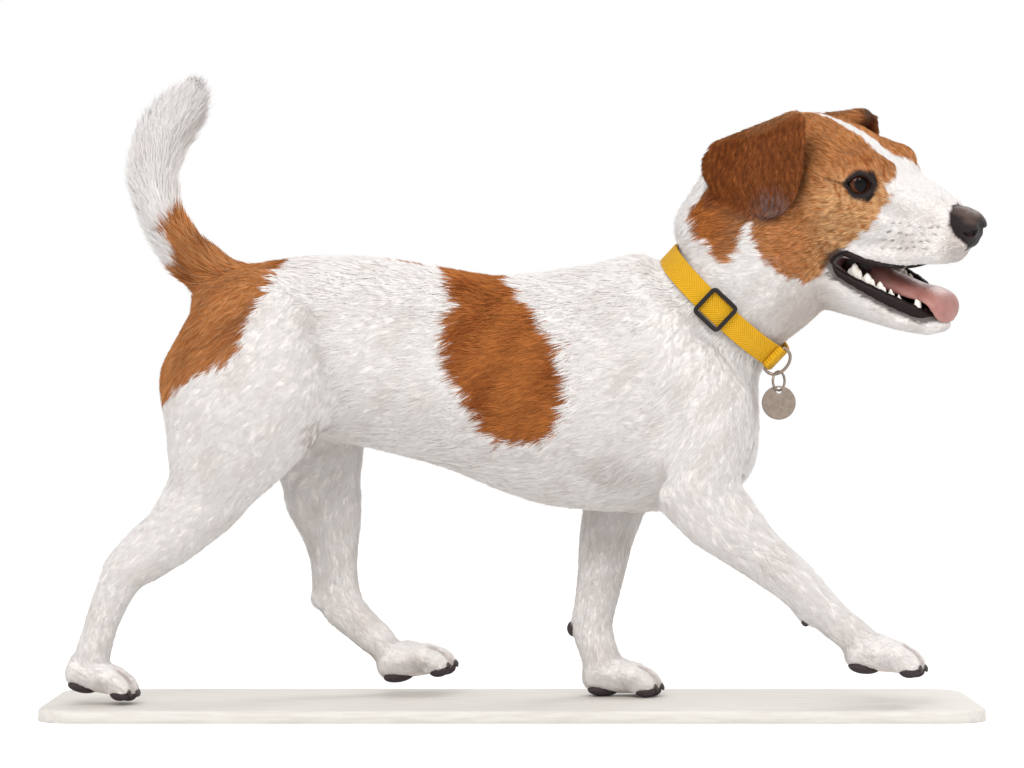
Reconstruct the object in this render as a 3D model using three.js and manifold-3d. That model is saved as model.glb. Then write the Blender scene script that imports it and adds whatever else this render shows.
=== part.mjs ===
// A Jack Russell type terrier in mid-stride, as a life-size still model on a flat base.
// Millimetres. X runs from tail to nose, Y to the dog's left, Z up. The origin is the centre of the
// base's underside. "Right" and "left" are the dog's own.
//
// Flesh is lofted: a row of stations gives the spine of a part and how far its surface stands off
// that spine, and the rings between are blended. Parts that meet are cut by their neighbour, grown
// by a small gap, so every node is one closed solid and no two overlap.

import * as THREE from "three";
import { mergeVertices } from "three/addons/utils/BufferGeometryUtils.js";
import Module from "manifold-3d";

const wasm = await Module();
wasm.setup();

// ---------------------------------------------------------------- driving sizes
const GAP = 0.35; // clear space between parts that touch
const BASE = { length: 600, width: 170, thickness: 8, corner: 24, bevel: 1.5 };
const FLOOR = BASE.thickness; // the level the feet stand on
const EYE_RADIUS = 10.2;
const EYE_SPACING = 49; // centre to centre
const STRAP = { width: 15.5, thickness: 2.2 };
const SLIDER = { size: 22, bar: 2.8, thickness: 2.6, corner: 3.5 };
const BUCKLE = { length: 27, width: 20, thickness: 6.5, corner: 5 };
const KEEPER = { length: 7, width: 16.5, thickness: 4.4, corner: 2 };
const D_RING = { width: 21, reach: 13.6, wire: 2 };
// Where each fitting sits on the strap, in degrees from the nape towards the dog's right.
const SLIDER_TURN = 86;
const BUCKLE_TURN = -120;
const RING_TURN = 150;
const RING_HANG = 115; // how far the ring swings out from lying on the strap
const TAG_RING = { radius: 6.1, wire: 0.8, turn: 48 };
const TAG = { radius: 10.9, thickness: 1.3, hole: 1.9, rim: 1.1 };

// How many flat sides the flesh has round a section, by part.
const SIDES = {
  trunk: 20,
  neck: 16,
  head: 16,
  jaw: 12,
  nose: 10,
  ear: 10,
  tail: 12,
  thigh: 12,
  leg: 8,
  paw: 8,
};

// Where the head sits: the middle point between the eyes, and its turn towards the dog's right.
const HEAD = {
  at: new THREE.Vector3(234.8, -40, 344.6),
  yaw: -36,
  pitch: 13,
  roll: 10,
};

// Where the strap's loop lies on the neck, and its outer half sizes.
const COLLAR = {
  at: new THREE.Vector3(138, -4, 264),
  axis: new THREE.Vector3(0.67, -0.18, 0.72).normalize(),
  nape: 50.5,
  side: 46,
};

// Where each heel stands, how far the toes point down in degrees, and the size of the paw.
const FEET = {
  hind_right: { heel: [-283, -33, 16.5], pitch: 10, size: 0.92 },
  hind_left: { heel: [-82, 46, 14.5], pitch: -9, size: 1 },
  fore_right: { heel: [217, -41, 28.5], pitch: 4, size: 1 },
  fore_left: { heel: [52, 27, 8], pitch: 0, size: 1 },
};

// Colours of the materials.
const WHITE = 0xf2efea;
const TAN = 0xa8602c;
const EAR_BROWN = 0x7a4422;
const BLACK = 0x1d191a;
const PINK = 0xd58a86;
const YELLOW = 0xe0ab1c;
const STEEL = 0x9b9793;
const BASE_GREY = 0xb9b6b1;

// ---------------------------------------------------------------- stations of the flesh
// Stations: x, top of the back, belly line, half width.
const TRUNK = [
  [-200, 281, 236, 29],
  [-184, 290, 212, 43],
  [-160, 295, 190, 53],
  [-130, 299.5, 176, 57],
  [-100, 299.5, 171, 54],
  [-72, 296, 164, 53],
  [-42, 291, 156, 56],
  [-10, 285.5, 142, 60],
  [20, 288.5, 132, 62],
  [55, 294, 128, 61],
  [84, 303, 127, 57],
  [116, 284, 129, 52],
  [140, 258, 136, 44],
  [154, 232, 148, 33],
];
const RUMP_CUT = -122; // where rump, loin and chest are parted
const LOIN_CUT = -28;

// Stations of the neck: spine, then nape side, throat side and half width.
const NECK = [
  [92, 0, 222, 60, 56, 50],
  [116, -1, 242, 54, 53, 47],
  [131, -3, 257, 48.3, 47.8, 42.8],
  [144, -6, 271, 48.3, 48.5, 42.5],
  [157, -8, 292, 63, 57, 42],
  [167, -11, 318, 57, 53, 41],
  [176, -14, 336, 40, 38, 34],
];

// Stations forward from the nape, in the head's own frame: forward, level of the greatest width,
// then up to the crown, down to the throat or lip, and half width.
const SKULL = [
  [-84, -14, 26, 22, 25],
  [-70, -16, 42, 42, 37],
  [-48, -18, 50, 53, 43],
  [-28, -20, 51, 52, 44],
  [-12, -18, 43, 42, 41],
  [1, -17, 36, 35, 33.5],
  [12, -19, 32, 32, 28],
  [24, -21, 27, 29, 23],
  [42, -22, 23, 26, 20],
  [62, -26, 17, 18.5, 15],
];
const JAW = [
  [-30, -70, 16, 20, 28],
  [-12, -74, 15, 17, 26],
  [8, -78, 13, 14, 22],
  [28, -81, 10, 12, 18.5],
  [44, -83, 8, 9, 14.5],
  [53, -83, 6, 6, 10],
];
const NOSE = [
  [55, -16, 10, 10, 11],
  [65, -16.5, 11, 12.5, 12],
  [73, -18, 9, 13, 9.5],
];
const BROW = { at: [1, 21.5, 11], size: [12, 9.5, 7.5] }; // the ridge over the left eye

// The tongue rises off the jaw and falls over the front teeth.
const TONGUE = [
  [0, 1, -60, 3, 5, 11],
  [22, 1, -63, 3.5, 4.5, 15],
  [40, 2, -66, 3.5, 4, 16],
  [51, 2, -66, 3.5, 3.5, 17],
  [57, 2, -72, 3, 3, 16],
  [59, 2, -79, 2.5, 2.5, 12],
];

// The left ear in the head's frame: a root that leaves the skull, and a flap folded over it. Their
// sections all lie along the fold, which slopes down to the back.
const EAR_ROOT = [
  [-62, 28, 12, 5, 5, 24],
  [-62, 46, 22, 5, 5, 30],
];
const EAR_FLAP = [
  [-65, 49, 24.5, 4, 4, 36],
  [-62.5, 54, 10, 3.5, 3.5, 38.5],
  [-53, 56, -9, 3.2, 3.2, 30.5],
  [-45, 55, -19, 3, 3, 19],
];
const EAR_FOLD = new THREE.Vector3(0.87, -0.14, 0.48).normalize();
const EAR_HANG = new THREE.Vector3(0.48, 0, -0.87).normalize();
const EAR_OUT = new THREE.Vector3(0, 0.87, 0.5);
// How far each ear is set back and down, and how far its fold is tipped level, in degrees.
const EAR_SET = { right: { back: 0, drop: 0, tip: 0 }, left: { back: 4, drop: 3, tip: 13 } };

// Stations of the tail: spine, then rear, front and half width.
const TAIL = [
  [-176, 0, 274, 20, 20, 20],
  [-196, 0, 284, 22, 22, 22],
  [-212, 0, 297, 21, 21, 21],
  [-225, 0, 315, 20, 20, 20],
  [-233, 0, 338, 20, 20, 19.5],
  [-232, 0, 360, 21, 21, 20],
  [-223, 0, 380, 21, 21, 20],
  [-212, 0, 397, 17, 20, 17],
  [-203, 0, 409, 9, 13, 10],
];
const TAIL_CUTS = [325, 368]; // levels that part the tail into three lengths

// Each leg is a loft down to the knee or elbow, a loft from there to the foot, and a paw. Stations:
// spine, then front, back and half width; y is how far the spine stands from the middle plane.
const THIGH_RIGHT = [
  [-158, 30, 276, 30, 32, 22],
  [-161, 42, 262, 42, 44, 29],
  [-163, 47, 240, 50, 53, 32],
  [-168, 49, 214, 58, 62, 32],
  [-172, 48, 190, 55, 60, 30],
  [-181, 46, 168, 42, 48, 25],
  [-190, 44, 148, 32, 38, 20],
];
const SHANK_RIGHT = [
  [-186, 44, 156, 33, 40, 20],
  [-199, 43, 135, 27, 30, 18],
  [-218, 42, 116, 23, 23, 15],
  [-235, 41, 102, 20, 22, 13],
  [-248, 40, 90, 15.5, 20, 11.5],
  [-256, 38.5, 75, 13.5, 15.5, 11],
  [-262, 37, 61, 12.5, 13, 10.5],
  [-269, 34, 40, 13, 12.5, 12],
];
const THIGH_LEFT = [
  [-156, 30, 276, 30, 32, 22],
  [-154, 42, 262, 42, 44, 29],
  [-148, 47, 240, 48, 52, 32],
  [-141, 49, 214, 47, 54, 32],
  [-133, 49, 190, 42, 48, 30],
  [-127, 48, 168, 34, 38, 25],
  [-125, 47, 147, 29, 31, 20],
];
const SHANK_LEFT = [
  [-125, 47, 155, 29, 33, 20],
  [-125, 47, 134, 29, 29, 18],
  [-120, 47, 117, 24, 24, 15],
  [-118, 47, 100, 19, 19.5, 13],
  [-116.5, 47, 81, 17.5, 19.5, 11.5],
  [-111, 47, 66, 15, 19, 10.5],
  [-99, 46.5, 53, 13.5, 15, 10.5],
  [-86, 46, 41, 13, 13, 12],
];
const SHOULDER_RIGHT = [
  [76, 30, 274, 16, 16, 12],
  [94, 40, 252, 20, 26, 17],
  [114, 44, 224, 24, 29, 19],
  [131, 47, 200, 28, 28, 20],
  [127, 49, 174, 27, 28, 20],
  [115, 50, 150, 32, 25, 19],
];
const FOREARM_RIGHT = [
  [112, 50, 152, 31, 30, 19],
  [130, 50, 127, 30, 25, 18],
  [157, 48, 105, 20, 19.5, 15.5],
  [180, 46, 88, 17, 18.5, 14],
  [196, 44, 72, 15.5, 17, 12.5],
  [205, 43, 63, 13.5, 14, 12],
  [224, 41, 48, 12.5, 12.5, 12.5],
];
const SHOULDER_LEFT = [
  [72, 32, 276, 16, 16, 12],
  [88, 40, 252, 20, 26, 17],
  [106, 44, 224, 24, 29, 19],
  [117, 48, 200, 28, 28, 21],
  [98, 49, 174, 27, 27, 20],
  [78, 48, 150, 26, 25, 19],
];
const FOREARM_LEFT = [
  [78, 48, 152, 24, 24, 19],
  [68, 46, 134, 24, 24, 18],
  [62, 42, 110, 21, 21, 15.5],
  [58.5, 37, 86, 18.5, 18.5, 13.5],
  [54.5, 33, 64, 16.5, 17, 12.5],
  [53, 29, 50, 15.5, 16, 12],
  [59, 27, 32, 13.5, 14, 13],
];

// A paw in its own frame: the heel at the origin, toes ahead along x, soles on z = 0.
const PAW = [
  [-1, 0, 17, 12, 13.5, 14],
  [17, 0, 14, 13, 13, 17.5],
  [34, 0, 11, 9, 10, 15],
];
const TOES = { spread: 9, reach: 36, size: [12, 6.4, 10], curve: 5 };
const CLAW = { length: 7, radius: 2.3, droop: 35 };

// ---------------------------------------------------------------- solids
const rad = THREE.MathUtils.degToRad;
const X_AXIS = new THREE.Vector3(1, 0, 0);
const Y_AXIS = new THREE.Vector3(0, 1, 0);
const Z_AXIS = new THREE.Vector3(0, 0, 1);

/** A closed geometry as a manifold solid. */
function solid(geometry) {
  const bare = geometry.clone();
  bare.deleteAttribute("normal");
  bare.deleteAttribute("uv");
  const merged = mergeVertices(bare, 1e-4);
  const mesh = new wasm.Mesh({
    numProp: 3,
    vertProperties: new Float32Array(merged.getAttribute("position").array),
    triVerts: new Uint32Array(merged.index.array),
  });
  return new wasm.Manifold(mesh);
}

/** A manifold solid as a three.js geometry. */
function geometryOf(body) {
  const mesh = body.getMesh();
  const geometry = new THREE.BufferGeometry();
  geometry.setAttribute("position", new THREE.BufferAttribute(mesh.vertProperties, 3));
  geometry.setIndex(new THREE.BufferAttribute(mesh.triVerts, 1));
  geometry.computeVertexNormals();
  return geometry;
}

/** A solid moved by a Matrix4. */
const moved = (geometry, matrix) => solid(geometry.clone().applyMatrix4(matrix));

/** The matrix of a place, turned by yaw, pitch (nose down) and roll in degrees. */
function pose(at, yaw = 0, pitch = 0, roll = 0) {
  const turn = new THREE.Euler(rad(roll), rad(pitch), rad(yaw), "ZYX");
  return new THREE.Matrix4().makeRotationFromEuler(turn).setPosition(at);
}

/** Three columns of a loft's stations, blended smoothly from the first row to the last. */
function blender(rows, columns) {
  const points = rows.map((row) => new THREE.Vector3(...columns.map((column) => row[column])));
  const curve = new THREE.CatmullRomCurve3(points, false, "catmullrom", 0.5);
  return (t) => curve.getPoint(t);
}

/**
 * A closed tube of flesh along stations [x, y, z, above, below, half width].
 * "Above" and "below" are how far the surface stands off the spine on either side of the plane that
 * holds the spine and `side`; on a leg that hangs down, above is the front.
 */
function loft(rows, options = {}) {
  const { around, power = 2.1, side = Y_AXIS, heading, caps = [6, 6], dome = 2, grow = 0 } = options;
  const centreAt = blender(rows, [0, 1, 2]);
  const sizeAt = blender(rows, [3, 4, 5]);
  const count = rows.length - 1;
  const rings = [];
  const ringAt = (t, shrink, shift) => {
    const ahead = centreAt(Math.min(t + 0.01, 1));
    const forward = heading?.clone() ?? ahead.sub(centreAt(Math.max(t - 0.01, 0))).normalize();
    const up = forward.clone().cross(side).normalize();
    const across = up.clone().cross(forward);
    const centre = centreAt(t).addScaledVector(forward, shift);
    const size = sizeAt(t).addScalar(grow).multiplyScalar(shrink);
    const round = (value) => Math.sign(value) * Math.abs(value) ** (2 / power);
    return Array.from({ length: around }, (_, k) => {
      const angle = (2 * Math.PI * k) / around;
      const rise = round(Math.sin(angle)) * (Math.sin(angle) > 0 ? size.x : size.y);
      return centre.clone().addScaledVector(across, round(Math.cos(angle)) * size.z)
        .addScaledVector(up, rise);
    });
  };
  const capStep = (k) => (k / dome) * (Math.PI / 2);
  for (let k = dome - 1; k > 0; k--) {
    rings.push(ringAt(0, Math.cos(capStep(k)), -(caps[0] + grow) * Math.sin(capStep(k))));
  }
  for (let i = 0; i <= count; i++) rings.push(ringAt(i / count, 1, 0));
  for (let k = 1; k < dome; k++) {
    rings.push(ringAt(1, Math.cos(capStep(k)), (caps[1] + grow) * Math.sin(capStep(k))));
  }
  const poles = [ringAt(0, 0, -(caps[0] + grow))[0], ringAt(1, 0, caps[1] + grow)[0]];
  return skinned(rings, poles);
}

/** Triangles over a row of rings, closed by a point at each end. */
function skinned(rings, poles) {
  const around = rings[0].length;
  const index = [];
  const last = rings.length * around;
  for (let j = 0; j < around; j++) {
    const next = (j + 1) % around;
    for (let i = 0; i + 1 < rings.length; i++) {
      const [a, b] = [i * around + j, i * around + next];
      index.push(a, b, b + around, a, b + around, a + around);
    }
    index.push(last, next, j);
    index.push(last + 1, last - around + j, last - around + next);
  }
  const geometry = new THREE.BufferGeometry().setFromPoints([...rings.flat(), ...poles]);
  geometry.setIndex(index);
  return geometry;
}

// ---------------------------------------------------------------- the scene
const dog = new THREE.Group();
dog.name = "dog";
const headFrame = new THREE.Group();
headFrame.position.copy(HEAD.at);
headFrame.rotation.set(rad(HEAD.roll), rad(HEAD.pitch), rad(HEAD.yaw), "ZYX");
dog.add(headFrame);
dog.updateMatrixWorld(true);
const HEAD_POSE = pose(HEAD.at, HEAD.yaw, HEAD.pitch, HEAD.roll);

/** Adds one named node, with its pivot at its own middle, to a group of the scene. */
function node(group, name, body, colour, roughness = 0.9, metalness = 0) {
  const geometry = geometryOf(body);
  geometry.applyMatrix4(group.matrixWorld.clone().invert());
  geometry.computeBoundingBox();
  const pivot = geometry.boundingBox.getCenter(new THREE.Vector3());
  geometry.translate(-pivot.x, -pivot.y, -pivot.z);
  const material = new THREE.MeshStandardMaterial({ color: colour, roughness, metalness });
  const mesh = new THREE.Mesh(geometry, material);
  mesh.name = name;
  mesh.position.copy(pivot);
  group.add(mesh);
}

// ---------------------------------------------------------------- trunk

/** The trunk from rump to breast, widest a little below its middle. */
function trunk(grow = 0) {
  const waist = 0.46;
  const rows = TRUNK.map(([x, top, bottom, wide]) => {
    const level = bottom + (top - bottom) * waist;
    return [x, 0, level, top - level, level - bottom, wide];
  });
  return solid(loft(rows, { around: SIDES.trunk, power: 2.2, caps: [12, 9], heading: X_AXIS, grow }));
}

/** The neck, from between the shoulders up into the back of the head. */
const neck = (grow = 0) => solid(loft(NECK, { around: SIDES.neck, caps: [8, 12], grow }));

// ---------------------------------------------------------------- head

/** A loft along the head's own axis, placed on the dog. */
function headLoft(rows, options) {
  const full = rows.map(([forward, level, up, down, wide]) => [forward, 0, level, up, down, wide]);
  return moved(loft(full, { heading: X_AXIS, ...options }), HEAD_POSE);
}

/** The head without its jaw, with a ridge of brow over each eye. */
function skull(grow = 0) {
  let body = headLoft(SKULL, { around: SIDES.head, power: 2.3, caps: [7, 8], grow });
  for (const side of [-1, 1]) {
    const ridge = new THREE.SphereGeometry(1, 7, 4).scale(...BROW.size.map((half) => half + grow));
    ridge.translate(BROW.at[0], side * BROW.at[1], BROW.at[2]);
    body = body.add(moved(ridge, HEAD_POSE));
  }
  return body;
}
const jaw = (grow = 0) => headLoft(JAW, { around: SIDES.jaw, caps: [8, 6], grow });
const nose = (grow = 0) => headLoft(NOSE, { around: SIDES.nose, caps: [3, 4], grow });

/** One eyeball; side is -1 for the right eye and 1 for the left. */
function eye(side, grow = 0) {
  const ball = new THREE.SphereGeometry(EYE_RADIUS + grow, 10, 7);
  ball.translate(-2, (side * EYE_SPACING) / 2, -0.7);
  return moved(ball, HEAD_POSE);
}

const tongue = (grow = 0) => moved(loft(TONGUE, { around: 10, caps: [4, 4], grow }), HEAD_POSE);

/** A tooth of the lower jaw: a cone that stands in the jaw. */
function tooth(forward, sideways, level, height, radius, lean = 0) {
  const cone = new THREE.ConeGeometry(radius, height, 4).rotateX(Math.PI / 2);
  cone.translate(0, 0, height / 2);
  const place = pose(new THREE.Vector3(forward, sideways, level), 0, lean);
  return moved(cone, HEAD_POSE.clone().multiply(place));
}

/** The lower teeth: cheek teeth that shrink forward, a canine on each side and four incisors. */
function lowerTeeth(grow = 0) {
  const teeth = [];
  for (const side of [-1, 1]) {
    for (let k = 0; k < 4; k++) {
      const [forward, sideways] = [10 + 9 * k, side * (17 - 1.5 * k)];
      teeth.push(tooth(forward, sideways, -72 - 3 * k, 11 - 1.3 * k + 2 * grow, 3.8 - 0.4 * k + grow));
    }
    teeth.push(tooth(49, side * 8.5, -83, 14 + 2 * grow, 2.9 + grow, 8));
    teeth.push(tooth(53, side * 4.6, -83, 9 + 2 * grow, 1.8 + grow, 12));
    teeth.push(tooth(54.5, side * 1.6, -83, 9 + 2 * grow, 1.8 + grow, 12));
  }
  return teeth;
}

/** One ear; side is -1 for the right and 1 for the left. */
function ear(side, grow = 0) {
  const settings = { around: SIDES.ear, side: EAR_FOLD, power: 2.5, grow };
  const root = loft(EAR_ROOT, { ...settings, heading: EAR_OUT, caps: [2, 4] });
  const flap = loft(EAR_FLAP, { ...settings, heading: EAR_HANG, caps: [5, 8] });
  const { back, drop, tip } = side < 0 ? EAR_SET.right : EAR_SET.left;
  const [x, , z] = EAR_FLAP[0];
  const [rootSolid, flapSolid] = [root, flap].map((geometry) => {
    geometry.translate(-x, 0, -z).rotateY(rad(tip)).translate(x - back, 0, z - drop);
    return moved(side < 0 ? mirrored(geometry) : geometry, HEAD_POSE);
  });
  return rootSolid.add(flapSolid);
}

/** A geometry's mirror image in the middle plane, its faces still outwards. */
function mirrored(geometry) {
  const image = geometry.clone().scale(1, -1, 1);
  const index = image.index.array;
  for (let i = 0; i < index.length; i += 3) [index[i], index[i + 1]] = [index[i + 1], index[i]];
  return image;
}

// ---------------------------------------------------------------- tail
const tail = (grow = 0) => solid(loft(TAIL, { around: SIDES.tail, caps: [6, 9], grow }));

// ---------------------------------------------------------------- legs

/** A limb's loft; side is -1 for the right legs and 1 for the left. */
function limb(rows, side, around, grow = 0) {
  const placed = rows.map(([x, y, ...rest]) => [x, side * y, ...rest]);
  return solid(loft(placed, { around, caps: [7, 7], grow }));
}

/** One paw with its four toes and claws, placed by its heel. */
function paw({ heel, pitch, size }) {
  const place = pose(new THREE.Vector3(...heel), 0, pitch).scale(new THREE.Vector3(size, size, size));
  let body = moved(loft(PAW, { around: SIDES.paw, caps: [5, 5] }), place);
  for (let k = 0; k < 4; k++) {
    const sideways = (k - 1.5) * TOES.spread;
    const reach = TOES.reach - (Math.abs(k - 1.5) > 1 ? TOES.curve : 0);
    const toe = new THREE.SphereGeometry(1, 6, 3).scale(...TOES.size);
    toe.translate(reach, sideways, TOES.size[2]);
    const claw = new THREE.ConeGeometry(CLAW.radius, CLAW.length, 3).rotateZ(-Math.PI / 2);
    claw.translate(CLAW.length / 2, 0, 0).rotateY(rad(CLAW.droop));
    claw.translate(reach + TOES.size[0] - 3, sideways, TOES.size[2] - 2);
    body = body.add(moved(toe, place)).add(moved(claw, place));
  }
  return body;
}

// ---------------------------------------------------------------- collar
// The collar's frame: x towards the nape, y towards the dog's right, z along the neck to the head.
const nape = new THREE.Vector3(-0.729, 0, 0.684).projectOnPlane(COLLAR.axis).normalize();
const COLLAR_POSE = new THREE.Matrix4()
  .makeBasis(nape, COLLAR.axis.clone().cross(nape), COLLAR.axis).setPosition(COLLAR.at);

/** The strap's loop: a rectangle turned about the neck, pressed to an oval. */
function strap(grow = 0) {
  const half = STRAP.width / 2 + grow;
  const outer = COLLAR.nape + grow;
  const inner = COLLAR.nape - STRAP.thickness - grow;
  const outline = [[outer, -half], [outer, half], [inner, half], [inner, -half], [outer, -half]];
  const loop = new THREE.LatheGeometry(outline.map(([r, h]) => new THREE.Vector2(r, h)), 24);
  return moved(loop.rotateX(Math.PI / 2).scale(1, COLLAR.side / COLLAR.nape, 1), COLLAR_POSE);
}

/** A place on the strap: x along it, y along the neck, z outwards; the turn starts at the nape. */
function onStrap(turn, lift) {
  const angle = rad(turn);
  const out = new THREE.Vector3(Math.cos(angle) / COLLAR.nape, Math.sin(angle) / COLLAR.side, 0);
  out.normalize();
  const at = new THREE.Vector3(COLLAR.nape * Math.cos(angle), COLLAR.side * Math.sin(angle), 0);
  const along = new THREE.Vector3(-out.y, out.x, 0);
  const place = new THREE.Matrix4().makeBasis(along, Z_AXIS, out.clone());
  return COLLAR_POSE.clone().multiply(place.setPosition(at.addScaledVector(out, lift)));
}

/** A rectangle with round corners as a shape or a hole. */
function roundedRectangle(width, height, corner, Kind = THREE.Shape) {
  const [w, h] = [width / 2 - corner, height / 2 - corner];
  const outline = new Kind();
  outline.absarc(w, h, corner, 0, Math.PI / 2);
  outline.absarc(-w, h, corner, Math.PI / 2, Math.PI);
  outline.absarc(-w, -h, corner, Math.PI, 1.5 * Math.PI);
  outline.absarc(w, -h, corner, 1.5 * Math.PI, 2 * Math.PI);
  outline.closePath();
  return outline;
}

/** A flat plate of a shape, its underside on z = 0, with its edges bevelled. */
function plate(shape, thickness, bevel, curveSegments = 2) {
  const settings = { depth: thickness - 2 * bevel, bevelSize: bevel, bevelThickness: bevel };
  Object.assign(settings, { bevelOffset: -bevel, bevelSegments: 1, curveSegments });
  return new THREE.ExtrudeGeometry(shape, settings).translate(0, 0, bevel);
}

/** The slider: a square frame that the strap runs through. */
function slider() {
  const shape = roundedRectangle(SLIDER.size, SLIDER.size, SLIDER.corner);
  const inside = SLIDER.size - 2 * SLIDER.bar;
  shape.holes.push(roundedRectangle(inside, inside, SLIDER.corner / 2, THREE.Path));
  return moved(plate(shape, SLIDER.thickness, 0.5, 1), onStrap(SLIDER_TURN, GAP));
}

/** The closed buckle, out of sight on the left side of the throat. */
function buckle() {
  const shape = roundedRectangle(BUCKLE.length, BUCKLE.width, BUCKLE.corner);
  return moved(plate(shape, BUCKLE.thickness, 1.2), onStrap(BUCKLE_TURN, GAP));
}

/** The folded end of the strap that holds the ring's straight side. */
function keeper() {
  const shape = roundedRectangle(KEEPER.length, KEEPER.width, KEEPER.corner);
  const body = moved(plate(shape, KEEPER.thickness, 0.6, 1), onStrap(RING_TURN, GAP));
  return body.subtract(dRing(GAP));
}

/** The D-shaped ring; its straight side lies in the keeper, the round side hangs free. */
function dRing(grow = 0) {
  const wire = D_RING.wire / 2;
  const half = D_RING.width / 2 - wire;
  const depth = D_RING.reach - 2 * wire;
  const outline = (offset, Kind) => {
    const shape = new Kind();
    shape.moveTo(-half - offset, -offset);
    shape.lineTo(half + offset, -offset);
    shape.absellipse(0, depth * 0.3, half + offset, depth * 0.7 + offset, 0, Math.PI, false, 0);
    shape.closePath();
    return shape;
  };
  const shape = outline(wire + grow, THREE.Shape);
  shape.holes.push(outline(-wire - grow, THREE.Path));
  const ring = plate(shape, D_RING.wire + 2 * grow, 0.4, 5);
  ring.translate(0, 0, -wire - grow).rotateZ(Math.PI / 2).rotateY(rad(RING_HANG));
  return moved(ring, onStrap(RING_TURN, GAP + KEEPER.thickness / 2));
}

// The tag hangs straight down, by a small ring, from the lowest point of the D-ring.
const RING_LOW = new THREE.Vector3(171.3, -29, 218.9); // middle of the wire there

/** The small ring, turned half away from the tag's face. */
function tagRing() {
  const drop = TAG_RING.radius - (D_RING.wire / 2 + TAG_RING.wire + GAP);
  const ring = new THREE.TorusGeometry(TAG_RING.radius, TAG_RING.wire, 5, 16);
  ring.rotateX(Math.PI / 2).rotateZ(rad(TAG_RING.turn));
  return solid(ring.translate(RING_LOW.x, RING_LOW.y, RING_LOW.z - drop));
}

/** The blank tag: a disc with a hole near its rim. */
function tag() {
  const ringLow = RING_LOW.z - 2 * TAG_RING.radius + (D_RING.wire / 2 + TAG_RING.wire + GAP);
  const disc = new THREE.Shape().absarc(0, 0, TAG.radius, 0, 2 * Math.PI);
  const up = TAG.radius - TAG.rim - TAG.hole;
  disc.holes.push(new THREE.Path().absarc(0, up, TAG.hole, 0, 2 * Math.PI));
  const body = plate(disc, TAG.thickness, 0.3, 7).translate(0, -up, -TAG.thickness / 2);
  body.rotateX(Math.PI / 2).translate(RING_LOW.x, RING_LOW.y, ringLow);
  return solid(body);
}

// ---------------------------------------------------------------- put together
/** The part of a solid between two planes across a direction, short of each by half the gap. */
function slice(body, across, from, to) {
  const direction = across.toArray();
  const opposite = across.clone().negate().toArray();
  return body.trimByPlane(direction, from + GAP / 2).trimByPlane(opposite, GAP / 2 - to);
}

/** The nodes of one leg, each cut by the one above it, with the paw trimmed to the floor. */
function leg(name, side, parts, upperRows, lowerRows, joint) {
  const upper = limb(upperRows, side, SIDES.thigh);
  node(dog, `${name}_${parts[0]}`, upper.subtract(grownCore), WHITE);
  const above = limb(upperRows, side, SIDES.thigh, GAP).add(grownCore);
  const lower = limb(lowerRows, side, SIDES.leg).subtract(above);
  const [before, at, after] = [joint - 1, joint, joint + 1].map((k) => {
    const [x, y, z] = lowerRows[k];
    return new THREE.Vector3(x, side * y, z);
  });
  const down = after.sub(before).normalize();
  const cut = at.dot(down);
  node(dog, `${name}_${parts[1]}`, slice(lower, down, -FAR, cut), WHITE);
  node(dog, `${name}_${parts[2]}`, slice(lower, down, cut, FAR), WHITE);
  const grownLower = limb(lowerRows, side, SIDES.leg, GAP);
  const sole = FLOOR + GAP / 2;
  const foot = paw(FEET[name]).subtract(grownLower);
  node(dog, `${name}_paw`, slice(foot, Z_AXIS, sole, FAR), WHITE);
}

const FAR = 1000; // beyond everything
const grownSkull = skull(GAP);
const grownNeck = neck(GAP);
const band = strap(GAP);
const grownCore = trunk(GAP).add(grownNeck).add(band);

const wholeTrunk = trunk().subtract(grownNeck).subtract(band);
node(dog, "trunk_rump", slice(wholeTrunk, X_AXIS, -FAR, RUMP_CUT), WHITE);
node(dog, "trunk_loin", slice(wholeTrunk, X_AXIS, RUMP_CUT, LOIN_CUT), WHITE);
node(dog, "trunk_chest", slice(wholeTrunk, X_AXIS, LOIN_CUT, FAR), WHITE);
node(dog, "neck", neck().subtract(grownSkull).subtract(band), WHITE);

const hind = ["thigh", "shank", "hock"];
const fore = ["shoulder", "forearm", "pastern"];
leg("hind_right", -1, hind, THIGH_RIGHT, SHANK_RIGHT, 5);
leg("hind_left", 1, hind, THIGH_LEFT, SHANK_LEFT, 4);
leg("fore_right", -1, fore, SHOULDER_RIGHT, FOREARM_RIGHT, 5);
leg("fore_left", 1, fore, SHOULDER_LEFT, FOREARM_LEFT, 5);

const wholeTail = tail().subtract(grownCore);
const [tailLow, tailHigh] = TAIL_CUTS;
node(dog, "tail_base", slice(wholeTail, Z_AXIS, -FAR, tailLow), TAN);
node(dog, "tail_middle", slice(wholeTail, Z_AXIS, tailLow, tailHigh), WHITE);
node(dog, "tail_tip", slice(wholeTail, Z_AXIS, tailHigh, FAR), WHITE);

const sockets = eye(-1, GAP).add(eye(1, GAP));
node(headFrame, "head", skull().subtract(nose(GAP)).subtract(sockets), TAN);
let lowerJaw = jaw().subtract(grownSkull).subtract(grownNeck);
for (const piece of lowerTeeth()) lowerJaw = lowerJaw.add(piece);
node(headFrame, "jaw", lowerJaw, WHITE);
node(headFrame, "nose", nose(), BLACK, 0.4);
node(headFrame, "eye_right", eye(-1), BLACK, 0.1);
node(headFrame, "eye_left", eye(1), BLACK, 0.1);
let mouthFloor = jaw(GAP);
for (const piece of lowerTeeth(GAP)) mouthFloor = mouthFloor.add(piece);
node(headFrame, "tongue", tongue().subtract(mouthFloor).subtract(grownSkull), PINK, 0.5);
node(headFrame, "ear_right", ear(-1).subtract(grownSkull).subtract(grownNeck), EAR_BROWN);
node(headFrame, "ear_left", ear(1).subtract(grownSkull).subtract(grownNeck), EAR_BROWN);

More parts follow.
